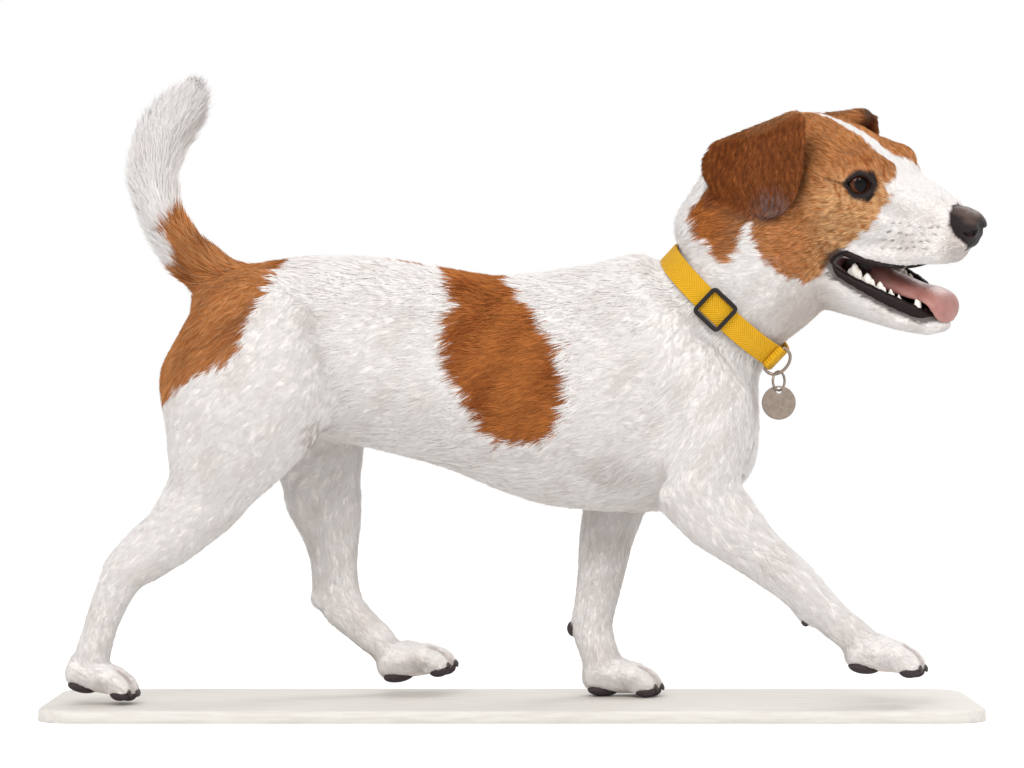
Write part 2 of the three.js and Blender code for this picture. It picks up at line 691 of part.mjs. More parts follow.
node(dog, "collar_strap", strap(), YELLOW);
node(dog, "collar_slider", slider(), BLACK, 0.4);
node(dog, "collar_buckle", buckle(), BLACK, 0.4);
node(dog, "collar_keeper", keeper(), YELLOW);
node(dog, "collar_ring", dRing(), STEEL, 0.35, 1);
node(dog, "tag_ring", tagRing(), STEEL, 0.35, 1);
node(dog, "tag_disc", tag(), STEEL, 0.4, 1);

const plinth = roundedRectangle(BASE.length, BASE.width, BASE.corner);
node(dog, "stand_base", solid(plate(plinth, BASE.thickness, BASE.bevel, 3)), BASE_GREY, 0.6);

export default dog;
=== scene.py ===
# %% [markdown]
# # A walking terrier in short fur
# This lesson builds a life-size dog, stopped in mid-stride: white with tan patches, mouth open,
# wearing a webbing collar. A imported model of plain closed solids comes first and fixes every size
# and place. Here one skin is drawn over its solids of flesh, and a coat of fine tufts over the
# skin. Everything is in metres, with +X from tail to nose, +Y to the dog's left and +Z up.

# %% Loading the frame
import math

import bmesh
import bpy
import numpy as np
import openvdb
from mathutils import Euler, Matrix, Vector


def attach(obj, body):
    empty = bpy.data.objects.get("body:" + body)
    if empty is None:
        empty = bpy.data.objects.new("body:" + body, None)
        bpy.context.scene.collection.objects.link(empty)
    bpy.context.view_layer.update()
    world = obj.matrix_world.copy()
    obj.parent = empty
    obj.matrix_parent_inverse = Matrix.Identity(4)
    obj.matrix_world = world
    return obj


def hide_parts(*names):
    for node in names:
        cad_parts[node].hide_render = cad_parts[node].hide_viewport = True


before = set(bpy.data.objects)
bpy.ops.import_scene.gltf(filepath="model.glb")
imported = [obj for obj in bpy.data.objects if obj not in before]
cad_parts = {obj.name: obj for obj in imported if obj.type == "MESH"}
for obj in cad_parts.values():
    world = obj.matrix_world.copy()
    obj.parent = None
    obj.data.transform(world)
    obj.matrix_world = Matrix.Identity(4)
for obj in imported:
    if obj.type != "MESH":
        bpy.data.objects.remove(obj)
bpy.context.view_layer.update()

# %% [markdown]
# ## Where things are
# Most of the work is done on arrays of points, so a small vector helper set comes first. The head
# is turned and tipped, so it gets a frame of its own: forward along the muzzle, left, and up, with
# its origin between the eyes. Shapes on the head are then written as plain symmetrical numbers.

# %% Small helpers
MM = 0.001


def unit(vectors):
    """Vectors of length one, along the last axis."""
    vectors = np.asarray(vectors, float)
    return vectors / np.maximum(np.linalg.norm(vectors, axis=-1, keepdims=True), 1e-12)


def smooth(low, high, value):
    """0 below low, 1 above high and a soft ramp between."""
    t = np.clip((value - low) / (high - low), 0, 1)
    return t * t * (3 - 2 * t)


def lift(hex_colour):
    """A colour written as on a screen, as the linear light that a shader works in."""
    parts = np.array([int(hex_colour[k:k + 2], 16) / 255 for k in (0, 2, 4)])
    return np.where(parts <= 0.04045, parts / 12.92, ((parts + 0.055) / 1.055) ** 2.4)


print("mid grey as linear light:", lift("808080").round(3))


# %% Frames and objects
class Place:
    """A frame of its own: an origin and three directions, as rows of a matrix."""

    def __init__(self, origin, rows):
        self.origin, self.rows = np.array(origin, float), unit(rows)

    def inside(self, points):
        """Points of the whole dog, as seen in this frame."""
        return (points - self.origin) @ self.rows.T

    def outside(self, points):
        """Points of this frame, as seen by the whole dog."""
        return np.asarray(points, float) @ self.rows + self.origin

    def turned(self, vectors):
        """Directions of this frame, as seen by the whole dog."""
        return np.asarray(vectors, float) @ self.rows


def rotation(x=0, y=0, z=0):
    """A turn by degrees about x, then y, then z, as a matrix."""
    return np.array(Euler([math.radians(angle) for angle in (x, y, z)]).to_matrix())


def read(rows, key, width, kind=np.float32):
    """One fact of each row in a mesh's list, as an array."""
    values = np.empty(len(rows) * width, kind)
    rows.foreach_get(key, values)
    return values.reshape(-1, width)


def placed(name, data):
    """A new object in the scene."""
    made = bpy.data.objects.new(name, data)
    bpy.context.scene.collection.objects.link(made)
    return made


HEAD_AT = (0.2348, -0.040, 0.3446)
head_place = Place(HEAD_AT, rotation(10, 13, -36).T)
DOG = Place((0, 0, 0), np.eye(3))
nose_tip = head_place.outside([0.077, 0, -0.018])

# %% [markdown]
# ## Flesh as fields of distance
# The solids of flesh meet at thin cuts, and a real dog shows none. Joining meshes and smoothing
# them by hand would leave creases, so each solid is turned into a field instead: a block of
# numbers that says how far each point is from the solid's surface, negative inside. Fields join by
# taking the smaller number, soften by a blur, and shrink or grow by adding a length. A second,
# finer block holds the head, in the head's own frame, so that lids and lips have room.

# %% The block of distances
class Block:
    """A box of evenly spaced points, with a place of its own on the dog."""

    def __init__(self, place, low, high, step, band=9):
        self.place, self.low, self.step, self.band = place, np.array(low, float), step, band
        self.shape = tuple(np.ceil((np.array(high) - low) / step).astype(int) + 1)
        sides = [self.low[k] + step * np.arange(self.shape[k]) for k in range(3)]
        self.x, self.y, self.z = np.meshgrid(*sides, indexing="ij", sparse=True)

    def solid(self, name):
        """The distances to a CAD node's surface."""
        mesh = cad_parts[name].data
        mesh.calc_loop_triangles()
        triangles = read(mesh.loop_triangles, "vertices", 3, np.int32)
        points, first = np.unique(read(mesh.vertices, "co", 3).round(6), axis=0, return_inverse=True)
        inside = (self.place.inside(points) - self.low) / self.step
        return self.field(inside, triangles=first.ravel()[triangles].astype(np.uint32))

    def field(self, points, **faces):
        """The distances to a closed surface whose points are counted in steps."""
        grid = openvdb.FloatGrid.createLevelSetFromPolygons(
            points.astype(np.float32), halfWidth=self.band, **faces)
        numbers = np.full(self.shape, self.band, np.float32)
        grid.copyToArray(numbers)
        return numbers * self.step

    def window(self, points, reach):
        """The part of the block within reach of some points, and its coordinates."""
        low = np.floor((np.min(points, 0) - reach - self.low) / self.step).astype(int)
        high = np.ceil((np.max(points, 0) + reach - self.low) / self.step).astype(int) + 1
        part = tuple(slice(max(a, 0), max(b, 0)) for a, b in zip(low, high))
        return part, (self.x[part[0]], self.y[:, part[1]], self.z[:, :, part[2]])

    def surface(self, numbers):
        """The surface where the field is zero, as points counted in steps and four-sided faces."""
        grid = openvdb.FloatGrid(self.band)
        grid.copyFromArray(np.clip(numbers / self.step, -self.band, self.band).astype(np.float32))
        return grid.convertToQuads(0)

    def mesh(self, numbers):
        """The surface as points of the whole dog and faces, without any bubbles inside."""
        points, quads = largest(*self.surface(numbers))
        return self.place.outside(points * self.step + self.low), quads[:, ::-1]

    def settled(self, numbers):
        """True distances again, for a field of solids whose cuts have been closed."""
        points, quads = largest(*self.surface(numbers))
        return self.field(points, quads=quads.astype(np.uint32))


# %% The biggest piece, blurs and joins
def largest(points, faces):
    """Only the biggest connected piece of a surface."""
    labels = np.arange(len(points))
    while True:
        before = labels.copy()
        lowest = labels[faces].min(1)
        np.minimum.at(labels, faces.ravel(), np.repeat(lowest, faces.shape[1]))
        labels = labels[labels]
        if (labels == before).all():
            break
    main = np.bincount(labels[faces[:, 0]]).argmax()
    faces = faces[labels[faces[:, 0]] == main]
    used, first = np.unique(faces, return_inverse=True)
    return points[used], first.reshape(faces.shape).astype(np.int64)


def blurred(numbers, width):
    """The same field, softened by a bell curve that is width steps wide."""
    reach = max(1, int(math.ceil(2.2 * width)))
    taps = np.exp(-0.5 * (np.arange(-reach, reach + 1) / width) ** 2)
    taps = (taps / taps.sum()).astype(np.float32)
    for axis in range(3):
        padded = np.pad(numbers, [(reach * (k == axis),) * 2 for k in range(3)], mode="edge")
        size = numbers.shape[axis]
        numbers = np.zeros_like(numbers)
        for k, tap in enumerate(taps):
            numbers += tap * padded[tuple(slice(k, k + size) if j == axis else slice(None)
                                          for j in range(3))]
    return numbers


def union(a, b, soft=0.0):
    """Two fields joined, with a fillet of about soft metres."""
    both = np.minimum(a, b)
    if np.any(soft):
        close = np.clip(soft - np.abs(a - b), 0, None)
        both -= close * close / (4 * soft)
    return both


def carve(a, b, soft=0.0):
    """The first field with the second cut out of it."""
    return -union(-a, b, soft)


print("a blur of one step:", blurred(np.pad(np.ones((1, 1, 1), np.float32), 3), 1)[3, 3, 1:6].round(4))


# %% Looking a field up
def sample(block, numbers, points):
    """A field's value at any points, between its corners."""
    at = (block.place.inside(points) - block.low) / block.step
    at = np.clip(at, 0, np.array(block.shape) - 1.001)
    cell = at.astype(int)
    rest = at - cell
    value = 0
    for corner in np.ndindex(2, 2, 2):
        share = np.prod(np.where(corner, rest, 1 - rest), axis=1)
        value = value + share * numbers[tuple((cell + corner).T)]
    return value


def at_cell(block, numbers, points):
    """The number of the cell that each point lies in."""
    at = np.round((block.place.inside(points) - block.low) / block.step).astype(int)
    return numbers[tuple(np.clip(at, 0, np.array(block.shape) - 1).T)]


# %% Names of the flesh
FLESH = [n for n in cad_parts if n.startswith(("trunk", "neck", "hind", "fore", "tail"))]
HEAD_FLESH = ["head", "jaw", "ear_right", "ear_left", "neck"]
GAP_CLOSED = 0.5 * MM # more than half the cut between two solids
print(len(FLESH), "solids of flesh below the head")

# %% [markdown]
# ## The body's skin
# The solids reach the tips of the coat, so the skin lies deeper: 8 mm in the bushy tail, 4 mm on
# the trunk and hardly at all on the feet. Each point of the block looks up the solid nearest to
# it, and a blur turns those steps into slow changes. A few hollows and ridges of muscle, tendon
# and bone go in as simple shapes with soft joins: they are what short fur cannot hide.

# %% Simple shapes in a block
def round_shape(places, centre, radii):
    """The distances to an ellipsoid, in metres."""
    offsets = [axis - at for axis, at in zip(places, centre)]
    near = np.sqrt(sum((o / r) ** 2 for o, r in zip(offsets, radii)))
    steep = np.sqrt(sum((o / r ** 2) ** 2 for o, r in zip(offsets, radii)))
    return near * (near - 1) / np.maximum(steep, 1e-6)


def rod_shape(places, points, radii):
    """The distances to a chain of round rods through points, in metres."""
    chain = np.float32(1)
    for a, b, ra, rb in zip(points, points[1:], radii, radii[1:]):
        offsets = [axis - at for axis, at in zip(places, a)]
        t = np.clip(sum(o * d for o, d in zip(offsets, b - a)) / ((b - a) @ (b - a)), 0, 1)
        gap = np.sqrt(sum((o - t * d) ** 2 for o, d in zip(offsets, b - a)))
        chain = np.minimum(chain, gap - (ra + (rb - ra) * t))
    return chain


def shape(block, numbers, points, radii, soft=0.0, cut=False, both=False):
    """Adds a rod through several points, or an ellipsoid at one, to a field or cuts it out.

    Points and sizes are in millimetres; both puts the shape on each side of y = 0.
    """
    points, radii, soft = np.array(points) * MM, np.array(radii) * MM, soft * MM
    make = rod_shape if len(points) > 1 else lambda p, at, r: round_shape(p, at[0], r)
    for side in (-1, 1) if both else (1,):
        there = points * (1, side, 1)
        part, places = block.window(there, radii.max() + soft + 3 * block.step)
        change = carve if cut else union
        numbers[part] = change(numbers[part], make(places, there, radii).astype(np.float32), soft)
    return numbers


# %% The coat's depth by part
DEPTH = {"tail": 8, "trunk": 4, "neck": 4, "thigh": 4, "shoulder": 3.5, "shank": 3, "forearm": 3,
         "hock": 2, "pastern": 2, "paw": 1.0}
BROAD, CREASE, CRISP = 6 * MM, 3 * MM, 1.5 * MM # widths of the blur on trunk, legs and feet
MERGE = 5 * MM # and of the blur from one part's numbers to the next


def depth_of(name):
    """How deep the coat lies on a solid, in metres."""
    return next(mm for part, mm in DEPTH.items() if part in name) * MM


def skin_over(block, names):
    """The skin's field for a few solids of flesh: joined, softened and set in by the coat."""
    label = np.zeros(block.shape, np.int16)
    joined = np.full(block.shape, 1.0, np.float32)
    for k, name in enumerate(names):
        numbers = block.solid(name)
        label[numbers < joined] = k
        joined = np.minimum(joined, numbers)
    joined = block.settled(joined - GAP_CLOSED)
    block.label, block.names = label, names

    def share(*parts):
        mine = np.array([any(part in n for part in parts) for n in names], np.float32)
        return blurred(mine[label], MERGE / block.step)

    skin = blurred(joined, CREASE / block.step)
    for width, parts in ((BROAD, ("trunk", "thigh", "shoulder", "neck")), (CRISP, ("paw",))):
        if any(part in n for part in parts for n in names):
            skin += share(*parts) * (blurred(joined, width / block.step) - skin)
    depth = np.array([depth_of(n) for n in names], np.float32)[label]
    return skin + blurred(depth, MERGE / block.step)


body = Block(DOG, (-0.292, -0.092, 0.002), (0.300, 0.092, 0.424), 1.8 * MM)
body_skin = skin_over(body, FLESH)
print("body block", body.shape)

# %% Muscle, tendon and fold
FOLDS = [ # points and radii of soft grooves in the body, in millimetres
    ([(72, -58, 300), (82, -62, 262), (88, -66, 238)], (3, 3, 3)),
    ([(80, 58, 300), (88, 62, 262), (94, 66, 238)], (3, 3, 3)),
    ([(40, -60, 160), (64, -66, 158), (84, -70, 168)], (6, 7, 5)),
    ([(30, 60, 160), (50, 66, 158), (68, 70, 168)], (6, 7, 5)),
    ([(-108, -62, 196), (-130, -72, 184), (-150, -76, 160)], (5, 6, 3)),
    ([(-90, 62, 196), (-100, 72, 184), (-106, 76, 165)], (5, 6, 3)),
    ([(-262, -52, 112), (-266, -49, 94), (-272, -47, 78)], (1, 3, 2)),
    ([(-262, -30, 112), (-266, -29, 94), (-272, -27, 78)], (1, 3, 2)),
    ([(-132, 60, 112), (-130, 59, 96), (-126, 57, 84)], (1, 3, 2)),
    ([(-132, 33, 112), (-130, 33, 96), (-126, 35, 84)], (1, 3, 2)),
]
BUMPS = [
    ([(112, -58, 152), (98, -57, 144)], (9, 6)), # the elbow's point
    ([(72, 57, 152), (60, 56, 144)], (9, 6)),
    ([(186, -44, 68), (187, -43, 63)], (5.5, 3.5)), # the pad behind the wrist
    ([(44, 33, 58), (41, 33, 54)], (5.5, 3.5)),
    ([(-281, -38, 84), (-280, -38, 80)], (4, 4)), # the point of the hock
    ([(-131, 46, 72), (-130, 46, 68)], (4, 4)),
]
for points, radii in FOLDS:
    shape(body, body_skin, points, radii, 9, cut=True)
for points, radii in BUMPS:
    shape(body, body_skin, points, np.array(radii) - 2, 6)
print("body shaped by", len(FOLDS) + len(BUMPS), "forms")

# %% [markdown]
# ## Feet
# A dog stands on four toes and a heel pad, and the toes are what makes a foot read as a foot. Each
# foot gets a small fine block in its own frame: heel at the origin, toes ahead, sole at zero. The
# pads and claws are bare, so they are pieces of their own that stand a little out of the fur.

# %% The four feet
FEET = { # heel, how far the toes point down, size, and where the leg is cut to join it
    "hind_right": ((-0.283, -0.033, 0.0165), 10, 0.92, (-12, 0, 36), (-0.25, 0, 1)),
    "hind_left": ((-0.082, 0.046, 0.0145), -9, 1.0, (-8, 0, 36), (-0.75, 0, 1)),
    "fore_right": ((0.217, -0.041, 0.0285), 4, 1.0, (-8, 0, 34), (-0.85, 0, 1)),
    "fore_left": ((0.052, 0.027, 0.008), 0, 1.0, (2, 0, 38), (0, 0, 1)),
}
FINE = 0.8 * MM # the step of the blocks for feet and head
feet = {}
for name, (heel, pitch, *rest) in FEET.items():
    foot_place = Place(heel, rotation(y=pitch).T)
    feet[name] = Block(foot_place, (-0.034, -0.027, -0.006), (0.058, 0.027, 0.056), FINE, 12)
    print(name, feet[name].shape)


def toes(size):
    """Where the four toes' bones run: knuckle, joint and tip, in millimetres."""
    for k in (-1.5, -0.5, 0.5, 1.5):
        tip = 40 - 4.5 * (abs(k) > 1)
        yield [(p * size, k * s * size, h * size)
               for p, s, h in ((16, 6.5, 17), (tip - 10, 9.2, 15), (tip, 9.4, 8.5))]


foot_skins = {}
for name, block in feet.items():
    size = FEET[name][2]
    skin = skin_over(block, [n for n in FLESH if n.startswith(name) and "thigh" not in n
                             and "shoulder" not in n])
    for bones in toes(size):
        shape(block, skin, bones, np.array((5.2, 6.4, 5.3)) * size, 2)
    for k in (-1, 0, 1):
        groove = np.array([(22, k * 8.0, 25), (36, k * 9.3, 19), (47, k * 9.6, 9), (46, k * 9.6, 1)])
        shape(block, skin, groove * size, (0.6, 1.5, 1.9, 1.7), 2.2, cut=True)
    foot_skins[name] = skin
print("feet shaped")

# %% [markdown]
# ## The head's skin
# A head is the part that people look at, so nearly every form here is named: cheekbone, temple,
# brow, stop, lips, chin. Left and right are the same, so each shape is given once and mirrored.
# The lids are a ball set over the eyeball, with an almond cut through it; the cut is made last so
# that its edge stays crisp.

# %% The head's block
COLLAR_AT = np.array([0.138, -0.004, 0.264])
COLLAR_AXIS = unit([0.67, -0.18, 0.72])


def above_collar(points):
    """How far points lie on the head's side of the collar's middle."""
    return (points - COLLAR_AT) @ COLLAR_AXIS


reach = np.concatenate([head_place.inside(np.array([v.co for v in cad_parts[n].data.vertices]))
                        for n in HEAD_FLESH + ["nose"]])
reach = reach[above_collar(head_place.outside(reach)) > -4 * MM]
head = Block(head_place, reach.min(0) - 3 * MM, reach.max(0) + 3 * MM, FINE, 14)
skull, jaw, nose, neck = [head.solid(name) for name in ("head", "jaw", "nose", "neck")]
grid = np.stack(np.broadcast_arrays(head.x, head.y, head.z), -1)
up_neck = above_collar(head.place.outside(grid)).astype(np.float32)
print("head block", head.shape)

# %% Skull, jaw and neck in one
whole = head.settled(union(union(skull, jaw), union(neck, nose)) - GAP_CLOSED)
on_face = smooth(-70 * MM, -20 * MM, head.x) * smooth(5 * MM, 30 * MM, up_neck)
face = blurred(whole, BROAD / head.step)
face += smooth(-100 * MM, -60 * MM, head.x) * (blurred(whole, 3.5 * MM / head.step) - face)
face += on_face * smooth(-10 * MM, 15 * MM, head.x) * (blurred(whole, 1.8 * MM / head.step) - face)
face = face + (4 - 2.6 * on_face) * MM # the coat's depth
print("face from", face.min().round(4), "to", face.max().round(4), "m from the surface")

# %% Forms of the face
EYE = {"at": np.array([-2, 24.5, -0.7]), "radius": 10.2}
SOFT_FORMS = [ # rods joined to the face on both sides: points, radii and how soft the join is
    ([(-52, 30, -16), (-24, 31, -20)], (9, 8), 12), # cheek
    ([(-12, 25, -44), (10, 22.5, -45), (34, 17.5, -43), (56, 11.5, -36)],
     (4.4, 4.4, 4.6, 5.4), 6), # lips
    ([(60, 6, -30), (67, 4, -27)], (6, 5), 4), # under the nose
    ([(16, 10, -3), (50, 7, -12)], (7, 6), 10), # bridge
    ([(52, 6, -84), (57, 3, -84)], (4, 4), 5), # chin
    ([(-28, 20, -76), (6, 17, -79), (32, 12, -83), (50, 6, -85)], (9, 8, 7, 5), 6), # lower jaw
    ([(-18, 27, 12), (0, 20, 10), (12, 11, 6)], (6, 8, 7), 8), # brow
    ([(-24, 23, -66), (4, 19.5, -72), (26, 15, -77)], (6, 6, 5), 6), # below the lower lip
]
HOLLOWS = [
    ([(-30, 52, 12), (-8, 48, 13)], (7, 5), 9), # temple
    ([(15, 30, -9), (32, 25, -18)], (4, 3), 9), # below the eye's inner corner
    ([(14, 0, 22), (-14, 0, 41), (-40, 0, 47)], (4, 3.5, 3), 10), # between the brows
    ([(60, 0, -30), (71, 0, -26)], (0.9, 0.9), 1.5), # the split of the upper lip
    ([(-11, 41, -1.5), (-18, 46, -5), (-24, 52, -6)], (1, 1, 1), 3), # crease behind the eye
]
for points, radii, soft in SOFT_FORMS:
    shape(head, face, points, radii, soft, both=True)
shape(head, face, [(-56, -6, 6), (-86, -33, -18)], (24, 20), 14) # the nape, towards the neck
shape(head, face, [(46, 12, -30)], (15, 7, 9), 6, both=True) # the whiskers' bed
for points, radii, soft in HOLLOWS:
    shape(head, face, points, radii, soft, cut=True, both=True)
print("face shaped by", len(SOFT_FORMS) + len(HOLLOWS) + 1, "forms")

# %% The open mouth
LOWER_LIP = [(-12, 27, -58), (4, 23.5, -65), (23, 19.5, -71.5), (40, 14, -77), (52, 7, -81),
             (56, 0, -82)]
shape(head, face, LOWER_LIP, (3.6, 3, 2.8, 2.8, 2.8, 2.8), 3, both=True)
shape(head, face, [(-13, 24, -44), (-15, 24, -62)], (5, 5), 6, both=True) # the mouth's corner
MOUTH_HOLLOWS = [ # under the roof and over the floor of the mouth
    ([(-8, 0, -55), (20, 0, -52), (44, 0, -47), (56, 0, -42)], (15, 13, 9, 6)),
    ([(-6, 0, -60), (20, 0, -66), (46, 0, -74)], (15, 12, 6.5)),
]
for points, radii in MOUTH_HOLLOWS:
    shape(head, face, points, radii, 2, cut=True)
print("mouth opened")

# %% Ears
EAR_FRONT = [(-34, 45, 38), (-31, 48.5, 27), (-28, 51.5, 6), (-30, 52.5, -10), (-36, 54.5, -21),
             (-44, 55.5, -25)]
EAR_REAR = [(-94, 54, 7), (-96, 57, 0), (-93, 59.2, -9), (-78, 60, -22), (-62, 57.5, -26),
            (-46, 55.7, -25.5)]
EAR_FORMS = [ # points, radii, how soft the join is, and whether the shape is cut out
    ([(-91, 51, 8), (-40, 43, 36)], (4.6, 5), 2.5, False), # the fold
    ([(-82, 41, 4), (-48, 36, 24)], (7.5, 7), 9, False), # its root in the skull
    ([(-84, 42, -6), (-56, 38, 8)], (6, 6), 7, False),
    ([(-26, 42.5, 31), (-48, 45.5, 26)], (2.9, 2), 1, True), # the openings in front and behind
    ([(-103, 55, -4), (-86, 53, -4)], (2.6, 1.8), 1, True),
]
EARS = { # side of each ear: how its fold is tipped level, and how it is shifted back and down
    -1: (0, (0, 0)),
    1: (13, (-4, -3)),
}


def on_ear(side, points):
    """Points of the left ear's plan, on the ear of one side."""
    tip, (back, down) = EARS[side]
    points = np.array(points, float) - (-65, 0, 24.5)
    return (points @ rotation(y=tip).T + (-65 + back, 0, 24.5 + down)) * (1, side, 1)


def along(line, count):
    """Even spots along a line of points with any number of columns; the first three are a place."""
    line = np.array(line, float)
    steps = np.concatenate([[0], np.cumsum(np.linalg.norm(np.diff(line[:, :3], axis=0), axis=1))])
    spots = np.linspace(0, steps[-1], count)
    return np.stack([np.interp(spots, steps, column) for column in line.T], 1)


flaps = np.full(head.shape, 1.0, np.float32)
for side in EARS:
    flap = np.full(head.shape, 1.0, np.float32)
    for front, rear in zip(along(EAR_FRONT, 34), along(EAR_REAR, 34)):
        sag = np.array([0, 1.2, 0]) * math.sin(front[2] / 9)
        shape(head, flap, on_ear(side, [rear, (rear + front) / 2 + sag, front]), (1.7, 2, 1.7), 1)
    face = union(face, flap, 0.3 * MM)
    flaps = union(flaps, flap)
    for points, radii, soft, cut in EAR_FORMS:
        shape(head, face, on_ear(side, points), radii, soft, cut)
print("ears joined")


# %% Eye openings
EYE_OUT = unit([0.72, 0.68, 0.13])
EYE_ALONG = unit([0.68, -0.72, -0.06]) # towards the inner corner
EYE_HIGH = np.cross(EYE_ALONG, EYE_OUT)
EYE_WAYS = np.array([EYE_ALONG, EYE_HIGH, EYE_OUT])
SLIT = {"half": 8.8, "high": 6.5, "low": 6.3}


def in_eye(block, side):
    """Places around one eye, in millimetres: along the slit, up the lids and out of the eye."""
    from_eye = (block.x - EYE["at"][0] * MM, side * block.y - EYE["at"][1] * MM,
                block.z - EYE["at"][2] * MM)
    return [sum(axis * part for axis, part in zip(from_eye, direction)) / MM
            for direction in EYE_WAYS]


def lid_bow(along):
    """How far open the lids are along the slit: 1 in the middle, 0 at the corners."""
    return 1 - np.abs(along / SLIT["half"]) ** 2.2


def past_lids(high, bow):
    """Millimetres past the edge of a lid, negative between the lids."""
    return np.maximum(high - SLIT["high"] * bow, -SLIT["low"] * bow - high)


def almond(block, side):
    """Negative within the opening between the lids of one eye."""
    along_slit, high, out = in_eye(block, side)
    slit = past_lids(high, lid_bow(along_slit))
    return (np.where(out > 0, slit, 9) * 0.8 * MM).astype(np.float32)


for side in (-1, 1):
    at = EYE["at"] * (1, side, 1)
    shape(head, face, [at], (12.0,) * 3, 7)
    shape(head, face, [at], (10.5,) * 3, 0.3, cut=True)
    face = carve(face, almond(head, side), 0.7 * MM)
print("eyes opened, up is", EYE_HIGH.round(2))

# %% [markdown]
# ## One skin
# The three sizes of block are cut at planes that a collar or a fringe of fur will hide and are
# bridged there, so the dog has a single skin. Then the faces that flat places don't need are
# spent on the lids, lips and toes instead.

# %% Cut, bridge and thin out
def solid_mesh(block, numbers):
    """A bmesh of a field's surface."""
    points, faces = block.mesh(numbers)
    mesh = bpy.data.meshes.new("field")
    mesh.from_pydata(points.tolist(), [], faces.tolist())
    made = bmesh.new()
    made.from_mesh(mesh)
    bpy.data.meshes.remove(mesh)
    return made


def keep_side(made, at, axis, centre=None, radius=9.0):
    """Cuts a bmesh at a plane and drops what is behind it, only near centre; gives the new rim."""
    centre = Vector(at if centre is None else centre)
    at, axis = Vector(at), Vector(axis).normalized()
    near = [f for f in made.faces if (f.calc_center_median() - centre).length < radius]
    geometry = list({v for f in near for v in f.verts})
    geometry += list({e for f in near for e in f.edges}) + near
    bmesh.ops.bisect_plane(made, geom=geometry, plane_co=at, plane_no=axis, dist=1e-7)
    behind = [f for f in made.faces if (f.calc_center_median() - centre).length < radius
              and (f.calc_center_median() - at).dot(axis) < 0]
    bmesh.ops.delete(made, geom=behind, context="FACES")
    rim = [e for e in made.edges if e.is_boundary
           and abs((e.verts[0].co - at).dot(axis)) < 1e-5 and (e.verts[0].co - centre).length < radius]
    print("  rim of", len(rim), "edges, boundary", sum(e.is_boundary for e in made.edges))
    return rim


def add_part(whole, rim, part):
    """Adds a bmesh to another and bridges the open rims."""
    mesh = bpy.data.meshes.new("part")
    part.to_mesh(mesh)
    whole.from_mesh(mesh)
    bpy.data.meshes.remove(mesh)
    other = [e for e in whole.edges if e.is_boundary and e not in set(rim)]
    bmesh.ops.bridge_loops(whole, edges=rim + other)


# %% Head, body and feet as one mesh
SKIN_FACES = 190000
dog = solid_mesh(body, body_skin)
part = solid_mesh(head, face)
rim = keep_side(dog, COLLAR_AT, -COLLAR_AXIS)
keep_side(part, COLLAR_AT, COLLAR_AXIS)
add_part(dog, rim, part)
seams = [(Vector(COLLAR_AT), Vector(COLLAR_AXIS), 0.09)]
for name, (heel, pitch, size, at, up) in FEET.items():
    block = feet[name]
    part = solid_mesh(block, foot_skins[name])
    centre = block.place.outside(np.array((20, 0, 14)) * MM)
    at = block.place.outside(np.array(at) * MM)
    axis = block.place.turned(unit(up))
    rim = keep_side(dog, at, axis, centre, 0.055)
    keep_side(part, at, -axis)
    add_part(dog, rim, part)
    seams.append((Vector(at), Vector(axis), 0.05))
print("joined at", len(seams), "seams")

# %% Seams smoothed and the mesh thinned
for at, axis, radius in seams:
    near = [v for v in dog.verts
            if abs((v.co - at).dot(axis)) < 5 * MM and (v.co - at).length < radius]
    for k in range(4):
        bmesh.ops.smooth_vert(dog, verts=near, factor=0.5,
                              use_axis_x=True, use_axis_y=True, use_axis_z=True)
bmesh.ops.triangulate(dog, faces=dog.faces[:])
bmesh.ops.recalc_face_normals(dog, faces=dog.faces[:])
mesh = bpy.data.meshes.new("skin")
dog.to_mesh(mesh)
skin = placed("skin", mesh)
print("skin", len(mesh.polygons), "faces, open edges", sum(e.is_boundary for e in dog.edges))
thin = skin.modifiers.new("thin", "DECIMATE")
thin.ratio = SKIN_FACES / len(mesh.polygons)
skin.data = bpy.data.meshes.new_from_object(skin.evaluated_get(bpy.context.evaluated_depsgraph_get()))
skin.modifiers.clear()
skin.data.shade_smooth()
print("thinned to", len(skin.data.polygons))

# %% [markdown]
# ## Markings
# The coat is white with tan patches, and the skin under it is painted the same, so that nothing
# shows through where the fur parts. Each patch is an outline in real sizes, seen from the side, in
# the dog's frame or in the head's. One function gives the colour of any point, and both the skin's
# corners and the roots of the tufts ask it. The hidden side follows the breed: the mask and the
# rump are even, and the flank's patch only spills a little over the back.

# %% Outlines of the patches
FLANK = [(-44, 300), (-38, 273), (-34, 264), (-41, 255), (-43, 241), (-41, 224), (-34, 214), (-28, 205),
         (-24, 197), (-17, 184), (-8, 178), (12, 175), (24, 178), (31, 187), (36, 203), (35, 219),
         (30, 235), (24, 247), (17, 259), (10, 268), (3, 280), (-4, 300)]
FLANK_FAR = [(-46, 300), (-36, 276), (-24, 262), (-12, 266), (-4, 278), (0, 300)]
RUMP = [(-206, 340), (-223, 311), (-217, 299), (-212, 276), (-210, 256), (-219, 235), (-230, 215),
        (-216, 203), (-209, 212), (-197, 221), (-175, 228), (-168, 240), (-166, 253), (-157, 266),
        (-149, 283), (-131, 300), (-158, 310), (-200, 320)]
NAPE = [(126, 339), (119, 329), (117, 323), (120, 313), (126, 302), (131, 294), (136, 289), (142, 290),
        (146, 301), (149, 310), (152, 317), (156, 334), (149, 352), (134, 348)]
BEHIND = [(151, 320), (155, 306), (160, 295), (167, 287), (178, 281), (196, 277), (196, 250), (90, 250),
          (90, 350), (138, 350)] # never part of the mask on the right side
